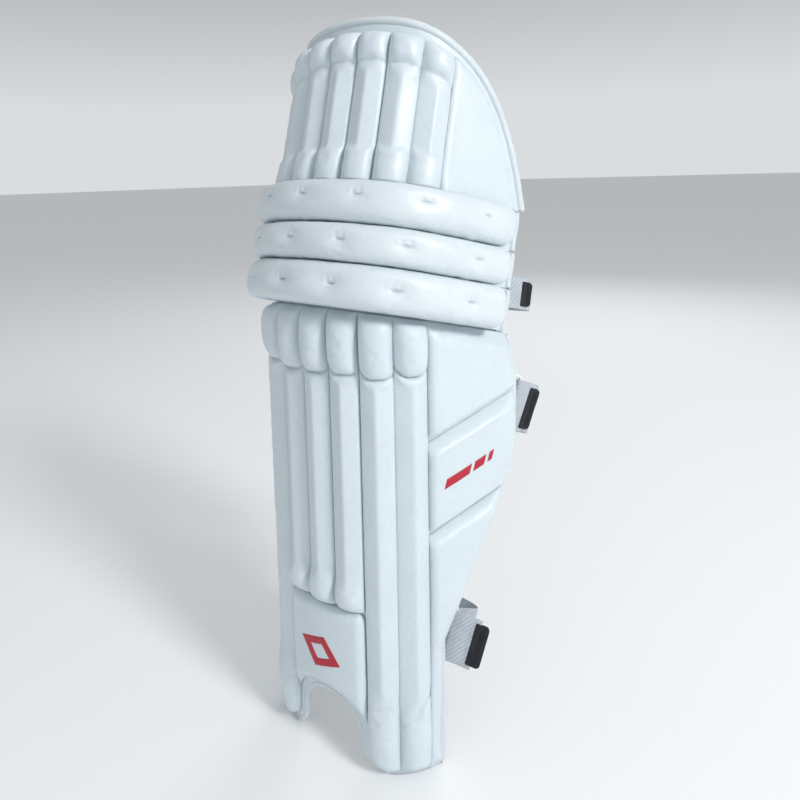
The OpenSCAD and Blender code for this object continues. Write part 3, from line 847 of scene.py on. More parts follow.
def wing_surface(s, d_low, d_high, d_edge, bevel_low, bevel_high):
    """Off of a wing panel from the distances to its borders."""
    seam = 0.32 + 0.68 * rise(s - WING_S + 0.3, 7)
    edge = 0.28 + 0.72 * rise(d_edge + 0.2, 13)
    low = bevel(d_low + 0.2, bevel_low)
    high = bevel(d_high + 0.2, bevel_high)
    crown = 1 + 0.06 * np.sin(np.clip((s - WING_S) / 95, 0, 1) * pi)
    off = BASE_OFF + WING_H * seam * edge * low * high * crown
    crease = 1 - np.minimum(np.minimum(rise(s - WING_S + 0.2, 2.5), rise(d_low + 0.3, 3.5)),
                            rise(d_high + 0.3, 3.5))
    return off, crease


def wing_grid(low_line, high_line, rows, cols, inset=EDGE_INSET):
    """Grid of s and z between two lines and the wing's edge."""
    v, u = np.meshgrid(rows, cols, indexing="ij")
    s = WING_S + 0.05 + u * 80
    for _ in range(12):
        z = low_line(s) + (high_line(s) - low_line(s)) * v
        far = edge_s(z) - inset
        heel = np.maximum(HEEL_R - z, 0)
        far = far - (HEEL_R - np.sqrt(np.maximum(HEEL_R ** 2 - heel ** 2, 0)))
        s = WING_S + 0.05 + u * (far - WING_S - 0.05)
    return s, z


def dense_ends(count, first=0.006):
    middle = np.linspace(0.045, 0.955, count)
    ends = np.array([0, first, 2.4 * first, 4.4 * first])
    return np.concatenate([ends, middle, 1 - ends[::-1]])


def make_wing(side):
    word = "right" if side > 0 else "left"
    panels = [
        ("upper", lambda s: groove(HIGH_GROOVE, s) + GROOVE_W / 2,
         lambda s: shin_top(s) - TOP_GAP, 44, 9.5, 15.0),
        ("middle", lambda s: groove(LOW_GROOVE, s) + GROOVE_W / 2,
         lambda s: groove(HIGH_GROOVE, s) - GROOVE_W / 2, 44, 9.0, 12.0),
        ("lower", lambda s: 4.5 + 0 * s,
         lambda s: groove(LOW_GROOVE, s) - GROOVE_W / 2, 70, 9.0, 11.0)]
    surfaces = {}
    for part, low_line, high_line, count, bevel_low, bevel_high in panels:
        s, z = wing_grid(low_line, high_line, dense_ends(count), dense_ends(34, 0.008))
        d_edge = (edge_s(z) - EDGE_INSET - s) * 0.9
        off, crease = wing_surface(s, z - low_line(s), high_line(s) - z, d_edge,
                                   bevel_low, bevel_high)
        seed = 30 + 5 * side + len(part)
        if part == "lower":
            thin = 0.45 + 0.55 * smooth((z - 40) / 150)
            off = BASE_OFF + (off - BASE_OFF) * thin
        if part == "upper":
            pucker = 1.2 * noise((s - WING_S) / 5, z / 14, seed) * bump(high_line(s) - z, 7, 16)
            off = off + pucker * bump(s, WING_S + 10, 26)
        off = off + unevenness(s, z, seed) * smooth((s - WING_S) / 8) * smooth(d_edge / 8)
        name = "wing_%s_%s" % (word, part)
        obj = shell(name + "_pad", shin(side * s, off, z), shin(side * s, 0.25, z), PAD, crease)
        finish_piece(obj, "shin", [name])
        surfaces[part] = (s, z, off)
    return surfaces


wing_surfaces = make_wing(1)
make_wing(-1)


def make_dashes():
    """Plain slanted bars printed on the middle panel of the right wing."""
    for n, (begin, end) in enumerate(DASHES):
        u, v = np.meshgrid(np.linspace(0, 1, 24), np.linspace(-1, 1, 7))
        s = begin + (end - begin) * u + DASH_SLANT * v
        z = groove(DASH_Z, s) + DASH_HALF * v
        off = on_surface(wing_surfaces["middle"], s, z)
        bar = shell("wing_print_%d" % (n + 1), shin(s, off + INK_OUT, z),
                    shin(s, off + INK_IN, z), INK)
        finish_piece(bar, "shin")


make_dashes()

# ---------------------------------------------------------------- shin backing and lining

def make_shin_backing():
    """Cover of the board: one shell for the middle and one for each wing."""
    corner = s_at_x(ARCH_R)
    s = steps((-WING_S - 0.2, -corner - 3, 2.2), (-corner - 3, -corner + 3, 0.6),
              (-corner + 3, corner - 3, 2.2), (corner - 3, corner + 3, 0.6),
              (corner + 3, WING_S + 0.2, 2.2))[None, :]
    v = np.concatenate([np.linspace(0, 0.1, 9)[:-1], np.linspace(0.1, 1, 30)])[:, None]
    low, top = arch_low(s, 0.6), shin_top(s) - 0.3
    z = low + (top - low) * v
    lift = 0.12 * noise(s / 9, z / 9, 50)
    crease = smooth(1 - (z - low) / 5) * 0.25
    centre = shell("shin_backing_cover", shin(s, lift, z), shin(s, -BACK_T + 0 * z, z), PAD,
                   crease + 0 * z)
    finish_piece(centre, "shin", ["shin_backing"])
    for side, word in ((1, "right"), (-1, "left")):
        rows = dense_ends(60)
        s, z = wing_grid(lambda s: 0.6 + 0 * s, lambda s: shin_top(s) - 0.3, rows,
                         dense_ends(20), 0.4)
        s = np.where(s < WING_S + 1, s - 0.1, s)
        lift = 0.12 * noise(s / 9, z / 9, 52)
        cover = shell("shin_backing_%s_cover" % word, shin(side * s, lift, z),
                      shin(side * s, -BACK_T + 0 * z, z), PAD, 0 * z)
        finish_piece(cover, "shin")


make_shin_backing()


def quilt(s, z, pitch_s, pitch_z, depth):
    """Pillowed cells between sewn lines."""
    a = np.abs(((s / pitch_s) % 1) - 0.5) * 2
    b = np.abs(((z / pitch_z) % 1) - 0.5) * 2
    return depth * np.sqrt(np.maximum(1 - a ** 5, 0)) * np.sqrt(np.maximum(1 - b ** 5, 0))


LINING_OFF = -BACK_T - 0.2


def make_shin_lining():
    s = np.linspace(-WING_S, WING_S, 130)[None, :]
    v = np.linspace(0, 1, 150)[:, None]
    low, top = arch_low(s, 4.0), shin_top(s) - 3
    z = low + (top - low) * v
    border = rise(z - low + 0.2, 6) * rise(top - z + 0.2, 6)
    depth = 1.0 + (0.9 + quilt(s + 15, z, 30, 52, 1.9)) * border
    cell = quilt(s + 15, z, 30, 52, 1.0)
    obj = shell("shin_lining_cloth", shin(s, LINING_OFF + 0 * z, z),
                shin(s, LINING_OFF - depth, z), LINING, 1 - cell)
    finish_piece(obj, "shin", ["shin_lining"])
    for side, word in ((1, "right"), (-1, "left")):
        s, z = wing_grid(lambda s: 4.0 + 0 * s, lambda s: shin_top(s) - 3, dense_ends(90),
                         dense_ends(36), 4.5)
        border = rise(edge_s(z) - 4.5 - s + 0.2, 6) * rise(z - 4.0 + 0.2, 6)
        cell = quilt(s - WING_S, z - (s - WING_S) * GROOVE_SLOPE, 104, 45, 1.0)
        depth = 1.0 + (0.8 + 1.9 * cell) * border
        obj = shell("shin_lining_%s_cloth" % word, shin(side * s, LINING_OFF + 0 * z, z),
                    shin(side * s, LINING_OFF - depth, z), LINING, 1 - cell)
        finish_piece(obj, "shin", ())


make_shin_lining()


def make_inner_bar(name, mid, half, height, low, high, inner, point, body, nodes):
    """Soft bar on the inside with sewn cross lines and rounded ends."""
    t = np.linspace(-1, 1, 29)[None, :]
    v = dense_ends(90)[:, None]
    z = low + (high - low) * v + 0 * t
    s = mid + half * t + 0 * z
    ends = rise((z - low), 16) * rise((high - z), 16)
    waist = 1 - 0.10 * np.exp(-((((z - low) / 50) % 1 - 0.5) / 0.05) ** 2)
    deep = height * np.sqrt(np.maximum(1 - np.abs(t) ** 2.2, 0)) * ends * waist
    deep = 0.6 + deep * (1 + 0.05 * noise(s / 8, z / 14, 61))
    crease = 1 - rise(1 - np.abs(t), 0.12) * waist + 0 * z
    obj = shell(name, point(s, inner + 0 * z, z), point(s, inner - deep, z), LINING, crease)
    finish_piece(obj, body, nodes)


BOLSTER_INNER = LINING_OFF - 3.6
for side, word in ((1, "right"), (-1, "left")):
    make_inner_bar("calf_bolster_%s_pad" % word, side * 76, 17, 14.2, 150, 400, BOLSTER_INNER,
                   shin, "shin", ["calf_bolster_%s" % word])

# ---------------------------------------------------------------- bindings

def binding_path(point, path, off):
    path = np.asarray(path, float)
    return point(path[:, 0], off, path[:, 1])


def resample(path, step):
    path = np.asarray(path, float)
    run = np.concatenate([[0], np.cumsum(np.linalg.norm(np.diff(path, axis=0), axis=1))])
    at = np.linspace(0, run[-1], int(run[-1] / step) + 1)
    return np.stack([np.interp(at, run, path[:, c]) for c in range(path.shape[1])], -1)


def folds(count, seed, depth=0.05):
    """Radius along a binding, with small irregular folds."""
    i = np.arange(count)
    pinch = np.maximum(noise(i / 2.2, 3.5, seed) - 0.55, 0)
    return 1 + depth * noise(i / 5.0, 0.5, seed) - 0.10 * pinch


BIND_R = 2.9
BIND_OFF = -2.4


def make_shin_bindings():
    z = np.concatenate([np.linspace(424, 150, 90), np.linspace(146, 14, 40)])
    side_edge = np.stack([edge_s(z) + 0.6, z], -1)
    heel = [(edge_s(5.0) - 3 + 3.4 * cos(a), 8.5 + 6.5 * sin(a)) for a in np.linspace(0, -1.45, 10)]
    side_edge = np.concatenate([side_edge, heel])
    first = None
    for side, word in ((1, "right"), (-1, "left")):
        path = resample(side_edge, 1.6) * [side, 1]
        line = binding_path(shin, path, BIND_OFF)
        hint = outward(shin, path[:, 0], path[:, 1])
        obj = sweep("shin_binding_%s_edge" % word, line, hint, circle(BIND_R, 14), BINDING,
                    scale=folds(len(line), 70 + side))
        finish_piece(obj, "shin")
        first = first or obj
    lobe, cut_out = LOBE_R + 0.4, ARCH_R - 0.4
    half = [(s_at_x(ARCH_R + LOBE_R - lobe * sin(a)), LOBE_R - lobe * cos(a) + 2.6)
            for a in np.linspace(0.15, radians(88), 24)]
    half += [(s_at_x(max(1e-6, cut_out * sin(a))), ARCH_Z + cut_out * cos(a))
             for a in np.linspace(radians(88), 0, 30)]
    arch = half + [(-s, z) for s, z in half[-2::-1]]
    path = resample(arch, 1.6)
    line = binding_path(shin, path, BIND_OFF)
    obj = sweep("shin_binding_arch", line, outward(shin, path[:, 0], path[:, 1]),
                circle(BIND_R, 14), BINDING, scale=folds(len(line), 75))
    finish_piece(obj, "shin", ["shin_binding"])


make_shin_bindings()

# ---------------------------------------------------------------- knee rolls

ROLL_OUT = 28.0
ROLL_HALF = 181.0
JOINT_GAP = 0.4
ROLLS = [
    ("lower", -18.0, 22.0, 2.9, (-155, -109, -62, -17, 30, 76, 139), 0.0, "knee_lower"),
    ("middle", 22.0, 57.0, 2.0, (-150, -105, -60, -15, 33, 79, 140), 1.0, "knee_middle"),
    ("upper", 57.0, 96.0, 1.5, (-145, -96, -50, -8, 42, 88, 145), 4.0, "knee_upper")]


def roll_grid(low, high, tufts):
    """Closed tube of points round one knee roll."""
    marks = [steps((a - 9, a + 9, 1.1)) for a in tufts]
    ends = [steps((-ROLL_HALF, -ROLL_HALF + 16, 0.9)), steps((ROLL_HALF - 16, ROLL_HALF, 0.9))]
    s = np.unique(np.round(np.concatenate([steps((-ROLL_HALF, ROLL_HALF, 2.6))] + marks + ends), 2))
    keep = np.concatenate([[True], np.diff(s) > 0.5])
    s = s[keep]
    s[-1] = ROLL_HALF
    front = np.linspace(-30, 30, 46)
    back = np.linspace(30, 330, 84)[1:-1]
    a = np.radians(np.concatenate([front, back]))[None, :]
    s = s[:, None] + 0 * a
    half_h = (high - low - JOINT_GAP) / 2
    mid_off, half_off = (ROLL_OUT + 0.4) / 2, (ROLL_OUT - 0.4) / 2
    d_end = ROLL_HALF - np.abs(s)
    close = 0.30 + 0.70 * rise(d_end, 13)
    c, d = np.cos(a), np.sin(a)
    power = 2.35
    r = 1 / (np.abs(c) ** power + np.abs(d) ** power) ** (1 / power)
    off = mid_off + half_off * r * c * close - 1.2 * (1 - close)
    h = (low + high) / 2 + half_h * r * d * close
    return s, off, h, a


def make_roll(part, low, high, depth, tufts, tuft_up, body):
    """Stuffed roll with tufts pulled in, puckers below and a slack cover."""
    s, off, h, a = roll_grid(low, high, tufts)
    mid = (low + high) / 2 + tuft_up
    facing = smooth(np.cos(a) * 2)
    dimple = 0 * s
    mark = 0 * s
    for place_s in tufts:
        ds, dh = s - place_s, h - mid
        dimple = dimple + depth * np.exp(-(ds / 10.5) ** 2 - (dh / 8.0) ** 2)
        slit = np.exp(-np.abs(ds / 3.6) ** 3 - (dh / 1.25) ** 2)
        dimple = dimple + (1.0 + 0.5 * depth) * slit
        mark = np.maximum(mark, slit)
        fan = np.exp(-(np.abs(ds) / 9) ** 2) * np.exp(-((dh - 3.2) / 2.2) ** 2)
        dimple = dimple - 0.35 * fan * np.cos(ds * 1.1)
    under = smooth(-np.sin(a) * 3 - 1.6) * smooth(np.cos(a) * 4 + 1.5)
    pucker = under * (0.9 * noise(s / 7, 0.3, 81) + 0.5 * noise(s / 3.1, 1.7, 83))
    slack = 0.45 * noise(s / 21, h / 16, 85 + len(part)) + 0.15 * noise(s / 8, h / 7, 87)
    end = smooth((ROLL_HALF - np.abs(s)) / 14)
    off = off - dimple * facing + (pucker + slack) * end
    h = h + pucker * 0.5 * end
    # Crease mask for the painted shade in the tuft slits and where the rolls meet.
    crease = np.maximum(mark * facing, 0.8 * smooth(np.abs(np.sin(a)) * 6 - 5) + 0 * s)
    roll = make_object("knee_roll_%s_pad" % part, knee(s, off, h), tube_faces(*s.shape), ROLL, crease)
    tied = np.maximum(smooth(-np.cos(a) * 3 + 0.5), smooth(dimple / depth - 0.6)) + 0 * s
    set_pins(roll, tied)
    soft_pieces.append(roll)
    finish_piece(roll, body, ["knee_roll_" + part])


for roll_values in ROLLS:
    make_roll(*roll_values)

KNEE_HALF = 196.0


def make_knee_backing(part, low, high, body):
    """Backing strip behind a roll, with a soft inner side and piped ends."""
    s = steps((-KNEE_HALF, -KNEE_HALF + 8, 1), (-KNEE_HALF + 8, KNEE_HALF - 8, 3),
              (KNEE_HALF - 8, KNEE_HALF, 1))[None, :]
    v = dense_ends(14)[:, None]
    h = low + 0.25 + (high - low - 0.5) * v + 0 * s
    s = s + 0 * h
    border = rise(h - low, 4) * rise(high - h, 4) * rise(KNEE_HALF - np.abs(s), 4)
    inner = -BACK_T + 1.7 - 1.6 * border - 0.1 * noise(s / 11, h / 9, 91) * border
    outer = -0.9 + 0.8 * border
    obj = shell("knee_backing_%s_cover" % part, knee(s, outer, h), knee(s, inner, h), PAD,
                1 - border)
    finish_piece(obj, body, ["knee_backing_" + part])
    for side, word in ((1, "right"), (-1, "left")):
        z = np.linspace(low + 1.2, high - 1.2, 26)
        waist = 3.4 * (0.86 + 0.14 * rise(z - low, 6) * rise(high - z, 6))
        path = np.stack([side * (KNEE_HALF + 0.3 + 0.5 * np.sin(z / 6)), z], -1)
        line = binding_path(knee, path, -1.6)
        pipe = sweep("knee_piping_%s_%s" % (part, word), line, outward(knee, path[:, 0], z),
                     circle(1.0, 14), BINDING, scale=waist)
        finish_piece(pipe, body)


for part, low, high, _, _, _, body in ROLLS:
    make_knee_backing(part, low, high, body)


def make_gusset(name, parent, child, h):
    """Folded leather behind the gap between two rolls."""
    s = np.linspace(-KNEE_HALF + 3, KNEE_HALF - 3, 150)[None, :]
    v = np.linspace(-1, 1, 13)[:, None]
    high = h + 3.4 * v + 0 * s
    fold = -BACK_T - 0.6 - 1.5 * (1 - v ** 2) * (1 + 0.2 * noise(s / 9, 0.5, 95))
    s = s + 0 * high
    obj = shell(name, knee(s, fold, high), knee(s, fold - 0.9, high), BINDING, 0 * high)
    tuple(knee(0.0, fold[6, 75], h - 3.2) * MM)
    tuple(knee(0.0, fold[6, 75], h + 3.2) * MM)
    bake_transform(obj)


GUSSETS = [
    ("gusset_shin", "shin", "knee_lower", ROLLS[0][1] - 0.2),
    ("gusset_low", "knee_lower", "knee_middle", ROLLS[1][1]),
    ("gusset_mid", "knee_middle", "knee_upper", ROLLS[2][1]),
    ("gusset_top", "knee_upper", "top_flap", ROLLS[2][2])]
for name, parent, child, h in GUSSETS:
    make_gusset(name, parent, child, h)


def make_cradle():
    inner = -BACK_T - 4.4
    for side, word in ((1, "right"), (-1, "left")):
        nodes = ["knee_cradle"] if side > 0 else []
        make_inner_bar("knee_cradle_%s_pad" % word, side * 62, 20, 13.4, -4, 82, inner, knee,
                       "knee_middle", nodes)
        s = np.linspace(46, 78, 14)[None, :] * side
        h = np.linspace(25, 54, 12)[:, None] + 0 * s
        s = s + 0 * h
        tab = shell("knee_cradle_%s_mount" % word, knee(s, -BACK_T - 0.3, h),
                    knee(s, inner - 0.4 + 0.1 * noise(s / 5, h / 5, 97), h), LINING, 0 * h)
        finish_piece(tab, "knee_middle")


make_cradle()

# ---------------------------------------------------------------- top flap

FLAP_Z = ROLLS[2][2]
RIM_W = 11.0
FLAP_HEAD_H = 13.2
FLAP_BAR_H = 7.6
FLAP_FOOT_H = 13.6
FLAP_WING_H = 5.6


def flap_channel_surface(k, t, h, low, high):
    s = k * PITCH + HALF_BAR * t
    e, f = high - h, h - low
    head = FLAP_HEAD_H * np.sqrt(np.maximum(1 - np.abs((e - 15) / 15.5) ** 2.6, 0))
    is_head = e < 28 + 3.0 * (1 - t ** 2)
    neck = smooth((e - 27) / 16)
    foot = smooth((34 - f + 3 * t ** 2) / 9)
    bar = FLAP_BAR_H + 2.6 * neck
    height = np.where(is_head, np.maximum(head, FLAP_BAR_H * rise(e, 8)), bar)
    height = height * (1 - foot) + foot * (FLAP_FOOT_H - 2.0 * smooth((f - 8) / 26))
    sharp = smooth((e - 32) / 12) * (1 - foot)
    off = BASE_OFF + height * cross_section(k, t, sharp)
    fold = np.where(is_head, 0.5, 0.25) * noise(h / 7, t * 1.8, k + 60)
    off = off + (unevenness(s, h, k + 13) + fold) * (1 - t ** 2) * rise(e, 6)
    crease = np.maximum(1 - rise(1 - np.abs(t), 0.12), 1 - rise(e, 2.5))
    return s, off, crease, sharp


def make_flap_channel(k):
    t = across_steps()[None, :]
    s = k * PITCH + HALF_BAR * t
    high = dome(plan(s, 0.0)[0]) - RIM_W
    low = FLAP_Z + 0.5
    top = float(high.mean())
    rows = steps((0, 30, 2.0), (30, 44, 1.2), (44, top - low - 46, 4),
                 (top - low - 46, top - low - 4, 1.6), (top - low - 4, top - low, 0.7))[:, None]
    h = low + rows * (high - low) / (top - low)
    s, off, crease, sharp = flap_channel_surface(k, t + 0 * h, h, low, high)
    name = "flap_channel_%d" % (k + 4)
    obj = shell(name + "_pad", knee(s, off, h), knee(s, 0.25 + 0 * h, h), PAD, crease, sharp)
    finish_piece(obj, "top_flap", [name])
    soft_pieces.append(obj)


for k in CHANNELS:
    make_flap_channel(k)


def dome_edge_s(h):
    """Side edge of the flap at height h, as a distance round the curve."""
    x = np.linspace(0, DOME_HALF, 400)
    s = np.array([s_at_x(value) for value in x])
    return np.interp(-h, -dome(x), s)


def make_flap_wing(side):
    v = dense_ends(60)[:, None]
    u = dense_ends(34, 0.008)[None, :]
    h = FLAP_Z + 0.5 + 124.5 * v + 0 * u
    far = dome_edge_s(h + 4) - 8.5
    far = np.maximum(far, WING_S + 1.0)
    s = WING_S + 0.05 + u * (far - WING_S - 0.05)
    seam = 0.45 + 0.55 * rise(s - WING_S + 0.3, 6)
    d_edge = np.minimum(far - s, (dome(plan(s, 0.0)[0]) - 10 - h) * 0.8)
    edge = 0.10 + 0.90 * rise(d_edge + 0.2, 10)
    off = BASE_OFF + FLAP_WING_H * seam * edge * (1 + 0.10 * np.sin(np.clip(u, 0, 1) * pi))
    off = off + 2.0 * bump(s, WING_S + 9, 22) * bump(h, FLAP_Z + 2, 20)
    off = off + unevenness(s, h, 44 + side) * smooth(d_edge / 10) * smooth((s - WING_S) / 8)
    crease = 1 - np.minimum(rise(s - WING_S + 0.2, 2.5), rise(d_edge + 0.3, 2.5))
    word = "right" if side > 0 else "left"
    obj = shell("flap_wing_%s_pad" % word, knee(side * s, off, h),
                knee(side * s, 0.25 + 0 * h, h), PAD, crease)
    finish_piece(obj, "top_flap", ["flap_wing_" + word])


for side in (1, -1):
    make_flap_wing(side)


def flap_columns(inset):
    half = DOME_HALF - inset
    x = half * np.sin(np.linspace(-pi / 2, pi / 2, 140))
    s = np.array([np.sign(v) * s_at_x(abs(v)) for v in x])[None, :]
    top = np.maximum(FLAP_Z + inset + 0.5, dome(x * DOME_HALF / half) - inset)[None, :]
    return s, top


def make_flap_layers():
    s, top = flap_columns(0.5)
    v = dense_ends(50)[:, None]
    h = FLAP_Z + 0.4 + (top - FLAP_Z - 0.4) * v
    lift = 0.15 * noise(s / 9, h / 9, 53)
    cover = shell("flap_backing_cover", knee(s, lift, h), knee(s, -BACK_T + 0 * h, h), PAD, 0 * h)
    finish_piece(cover, "top_flap", ["flap_backing"])
    s, top = flap_columns(4.5)
    v = dense_ends(80)[:, None]
    low = FLAP_Z + 4
    h = low + (top - low) * v
    border = rise(h - low + 0.2, 8) * rise(top - h + 0.2, 8)
    cell = quilt(s + 30, h, 60, 48, 1.0)
    depth = 1.2 + (1.6 + 3.0 * cell) * border
    lining = shell("flap_lining_cloth", knee(s, LINING_OFF + 0 * h, h),
                   knee(s, LINING_OFF - depth, h), LINING, 1 - cell)
    finish_piece(lining, "top_flap", ["flap_lining"])


make_flap_layers()


def make_flap_binding():
    r = np.sin(np.linspace(0.005, pi / 2, 200))
    x = DOME_HALF * r
    slope = (2 * DOME_ROUND * r + 7 * DOME_SIDE * r ** 6) / DOME_HALF
    up = 0.9 / np.sqrt(1 + slope ** 2)
    right = [(s_at_x(u) + 0.9 * v, w + n) for u, v, w, n in zip(x, np.sqrt(1 - (up / 0.9) ** 2),
                                                               dome(x), up)]
    right.append((right[-1][0], FLAP_Z + 1.5))
    path = [(-u, w) for u, w in right[::-1]] + right
    path = resample(path, 1.3)
    line = binding_path(knee, path, -1.7)
    obj = sweep("flap_binding_roll", line, outward(knee, path[:, 0], path[:, 1]),
                circle(4.1, 18), BINDING, scale=folds(len(line), 77, 0.06))
    finish_piece(obj, "top_flap", ["flap_binding"])


make_flap_binding()

# ---------------------------------------------------------------- straps

WEB_T = 1.5
WIRE_R = 1.6
RING_OUT = 8.0
RING_LEN = 20.0
LEG_Y = WIRE_R + 0.35 + WEB_T / 2
RUN_STRAIGHT = 24.0
FOLD_X = 8.5
FOLD_HALF = 3.0
SPLIT_X = 4.0
EDGE_ROOM = 0.7


class Strap:
    """Frame of one strap: ring bar at the origin, x back along it, y in, z up its width."""

    def __init__(self, edge, z, tilt, splay, off, leaning):
        self.leaning = leaning
        point = knee if leaning else shin
        self.origin = point(edge + RING_OUT, off, z)
        back = np.array([cos(WING_TURN), sin(WING_TURN), 0.0])
        inward = np.array([-sin(WING_TURN), cos(WING_TURN), 0.0])
        t = radians(tilt)
        x = back * cos(t) - np.array([0, 0, sin(t)])
        z_way = back * sin(t) + np.array([0, 0, cos(t)])
        self.flat = [self.lean(v) for v in (x, inward, z_way)]
        a = radians(splay)
        self.swung = [self.lean(v) for v in (x * cos(a) - inward * sin(a),
                                             inward * cos(a) + x * sin(a), z_way)]

    def lean(self, v):
        if not self.leaning:
            return v
        return np.array([v[0], v[1] * cos(LEAN) + v[2] * sin(LEAN),
                         v[2] * cos(LEAN) - v[1] * sin(LEAN)])

    def point(self, x, y, z=0.0, swung=True):
        a, b, c = self.swung if swung else self.flat
        return self.origin + x * a + y * b + z * c


def bezier(a, b, c, d, count):
    t = np.linspace(0, 1, count)[:, None]
    return (1 - t) ** 3 * a + 3 * (1 - t) ** 2 * t * b + 3 * (1 - t) * t * t * c + t ** 3 * d


def flip(v):
    return np.asarray(v) * [-1, 1, 1]


def make_strap(name, edge, z, tilt, splay, off, leaning, pull, width, tail_from, tab_w, tab_len,
               keeper, sewn_len, parent):
    """Webbing run with its turn, tail, keeper, ring and pull tab."""
    strap = Strap(edge, z, tilt, splay, off, leaning)
    point = knee if leaning else shin
    tail_body = name + "_tail_body"
    sewn_off = off + 2.8
    leave = strap.point(RUN_STRAIGHT, LEG_Y, 0, False)
    ahead = strap.flat[0]
    far = flip(leave)
    sewn = [flip(point(edge - d, sewn_off - room, z + (d + RING_OUT) * tan(radians(tilt))))
            for d, room in ((2, EDGE_ROOM), (10, 0), (sewn_len, 0))]
    around = [strap.point(LEG_Y * cos(b), LEG_Y * sin(b), 0, False)
              for b in np.radians(np.linspace(270 - splay, 90, 13))]
    tail = np.array([strap.point(x, -LEG_Y - 0.25 * sin(x * 0.3))
                     for x in np.linspace(tail_from + 6, SPLIT_X, 40)])
    width_way = strap.swung[2]
    hint = np.cross(width_way, np.gradient(tail, axis=0))
    obj = sweep(name + "_tail_webbing", tail, hint, strip(width, WEB_T), WEBBING, weave=0.0)
    tuple(strap.point(FOLD_X - FOLD_HALF, -LEG_Y) * MM)
    tuple(strap.point(FOLD_X + FOLD_HALF, -LEG_Y) * MM)
    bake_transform(obj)
    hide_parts(name + "_tail")

    stub = [strap.point(x, -LEG_Y - 0.25 * sin(x * 0.3)) for x in np.linspace(SPLIT_X, 0.5, 5)]
    run = [strap.point(x, LEG_Y, 0, False) for x in np.linspace(0.5, RUN_STRAIGHT, 10)]
    curve = bezier(leave, leave + pull * ahead, far + pull * flip(ahead), far, 60)[1:]
    close = resample(np.array([curve[-1]] + sewn), 3)
    path = np.concatenate([stub, around, run, curve, close[1:]])
    count = len(path)
    begin, end = len(stub) + len(around), count - len(close) + 1
    mix = np.clip((np.arange(count) - begin) / max(1, end - begin), 0, 1)[:, None]
    width_hint = (1 - mix) * width_way + mix * flip(width_way)
    width_hint[end:] = flip(strap.flat[2])
    hint = np.cross(width_hint, np.gradient(path, axis=0))
    obj = sweep(name + "_webbing", path, hint, strip(width, WEB_T), WEBBING,
                weave=tail_from + 6 - SPLIT_X)
    finish_piece(obj, parent, [name + "_run"])

    loop_r = WIRE_R + 0.2 + WEB_T / 2
    bar = -RING_LEN
    first = [(x, -loop_r) for x in np.linspace(bar - keeper, bar, 10)]
    bend = [(bar + loop_r * cos(b), loop_r * sin(b)) for b in np.radians(np.arange(-75, 200, 15))]
    second = [(x, -loop_r + WEB_T + 0.05) for x in np.linspace(bar - loop_r, bar - keeper + 3, 8)]
    path = [strap.point(x, y, 0, False) for x, y in first + bend + second]
    ahead_way = np.gradient(np.array(path), axis=0)
    hint = np.cross(np.broadcast_to(strap.flat[2], ahead_way.shape), ahead_way)
    obj = sweep(name + "_keeper_loop", path, hint, strip(width, WEB_T), WEBBING, weave=0.0)
    finish_piece(obj, parent, [name + "_keeper"])

    half = width / 2 + 1.2 + WIRE_R
    corner = 3.0
    ring = []
    for cx, cz, start_a in ((-corner, half - corner, 0), (corner - RING_LEN, half - corner, 90),
                            (corner - RING_LEN, corner - half, 180), (-corner, corner - half, 270)):
        for b in np.radians(np.linspace(start_a, start_a + 90, 9)):
            ring.append((cx + corner * cos(b), cz + corner * sin(b)))
    ring = resample(np.array(ring + ring[:1]), 2.2)[:-1]
    path = [strap.point(x, 0, zz, False) for x, zz in ring]
    obj = sweep(name + "_ring_loop", path, strap.flat[1], circle(WIRE_R, 14), PLASTIC, closed=True)
    finish_piece(obj, parent, [name + "_ring"])

    make_tab(name, strap, tail_from, tab_w, tab_len, tail_body)
    thread = []
    for zz in (-width / 2 + 3, width / 2 - 3):
        row = np.array([strap.point(x, -loop_r - WEB_T / 2, zz, False)
                        for x in np.linspace(bar - keeper + 2, bar - 6, 20)])
        thread += stitch_parts(row, -strap.flat[1], r=0.25)
    for x in (bar - keeper + 3, bar - 6):
        row = np.array([strap.point(x, -loop_r - WEB_T / 2, zz, False)
                        for zz in np.linspace(-width / 2 + 3, width / 2 - 3, 20)])
        thread += stitch_parts(row, -strap.flat[1], r=0.25)
    finish_piece(join(name + "_keeper_thread", thread, THREAD), parent)


TAB_T = 3.2
RIB_R = 0.55
RIB_SIDES = 7


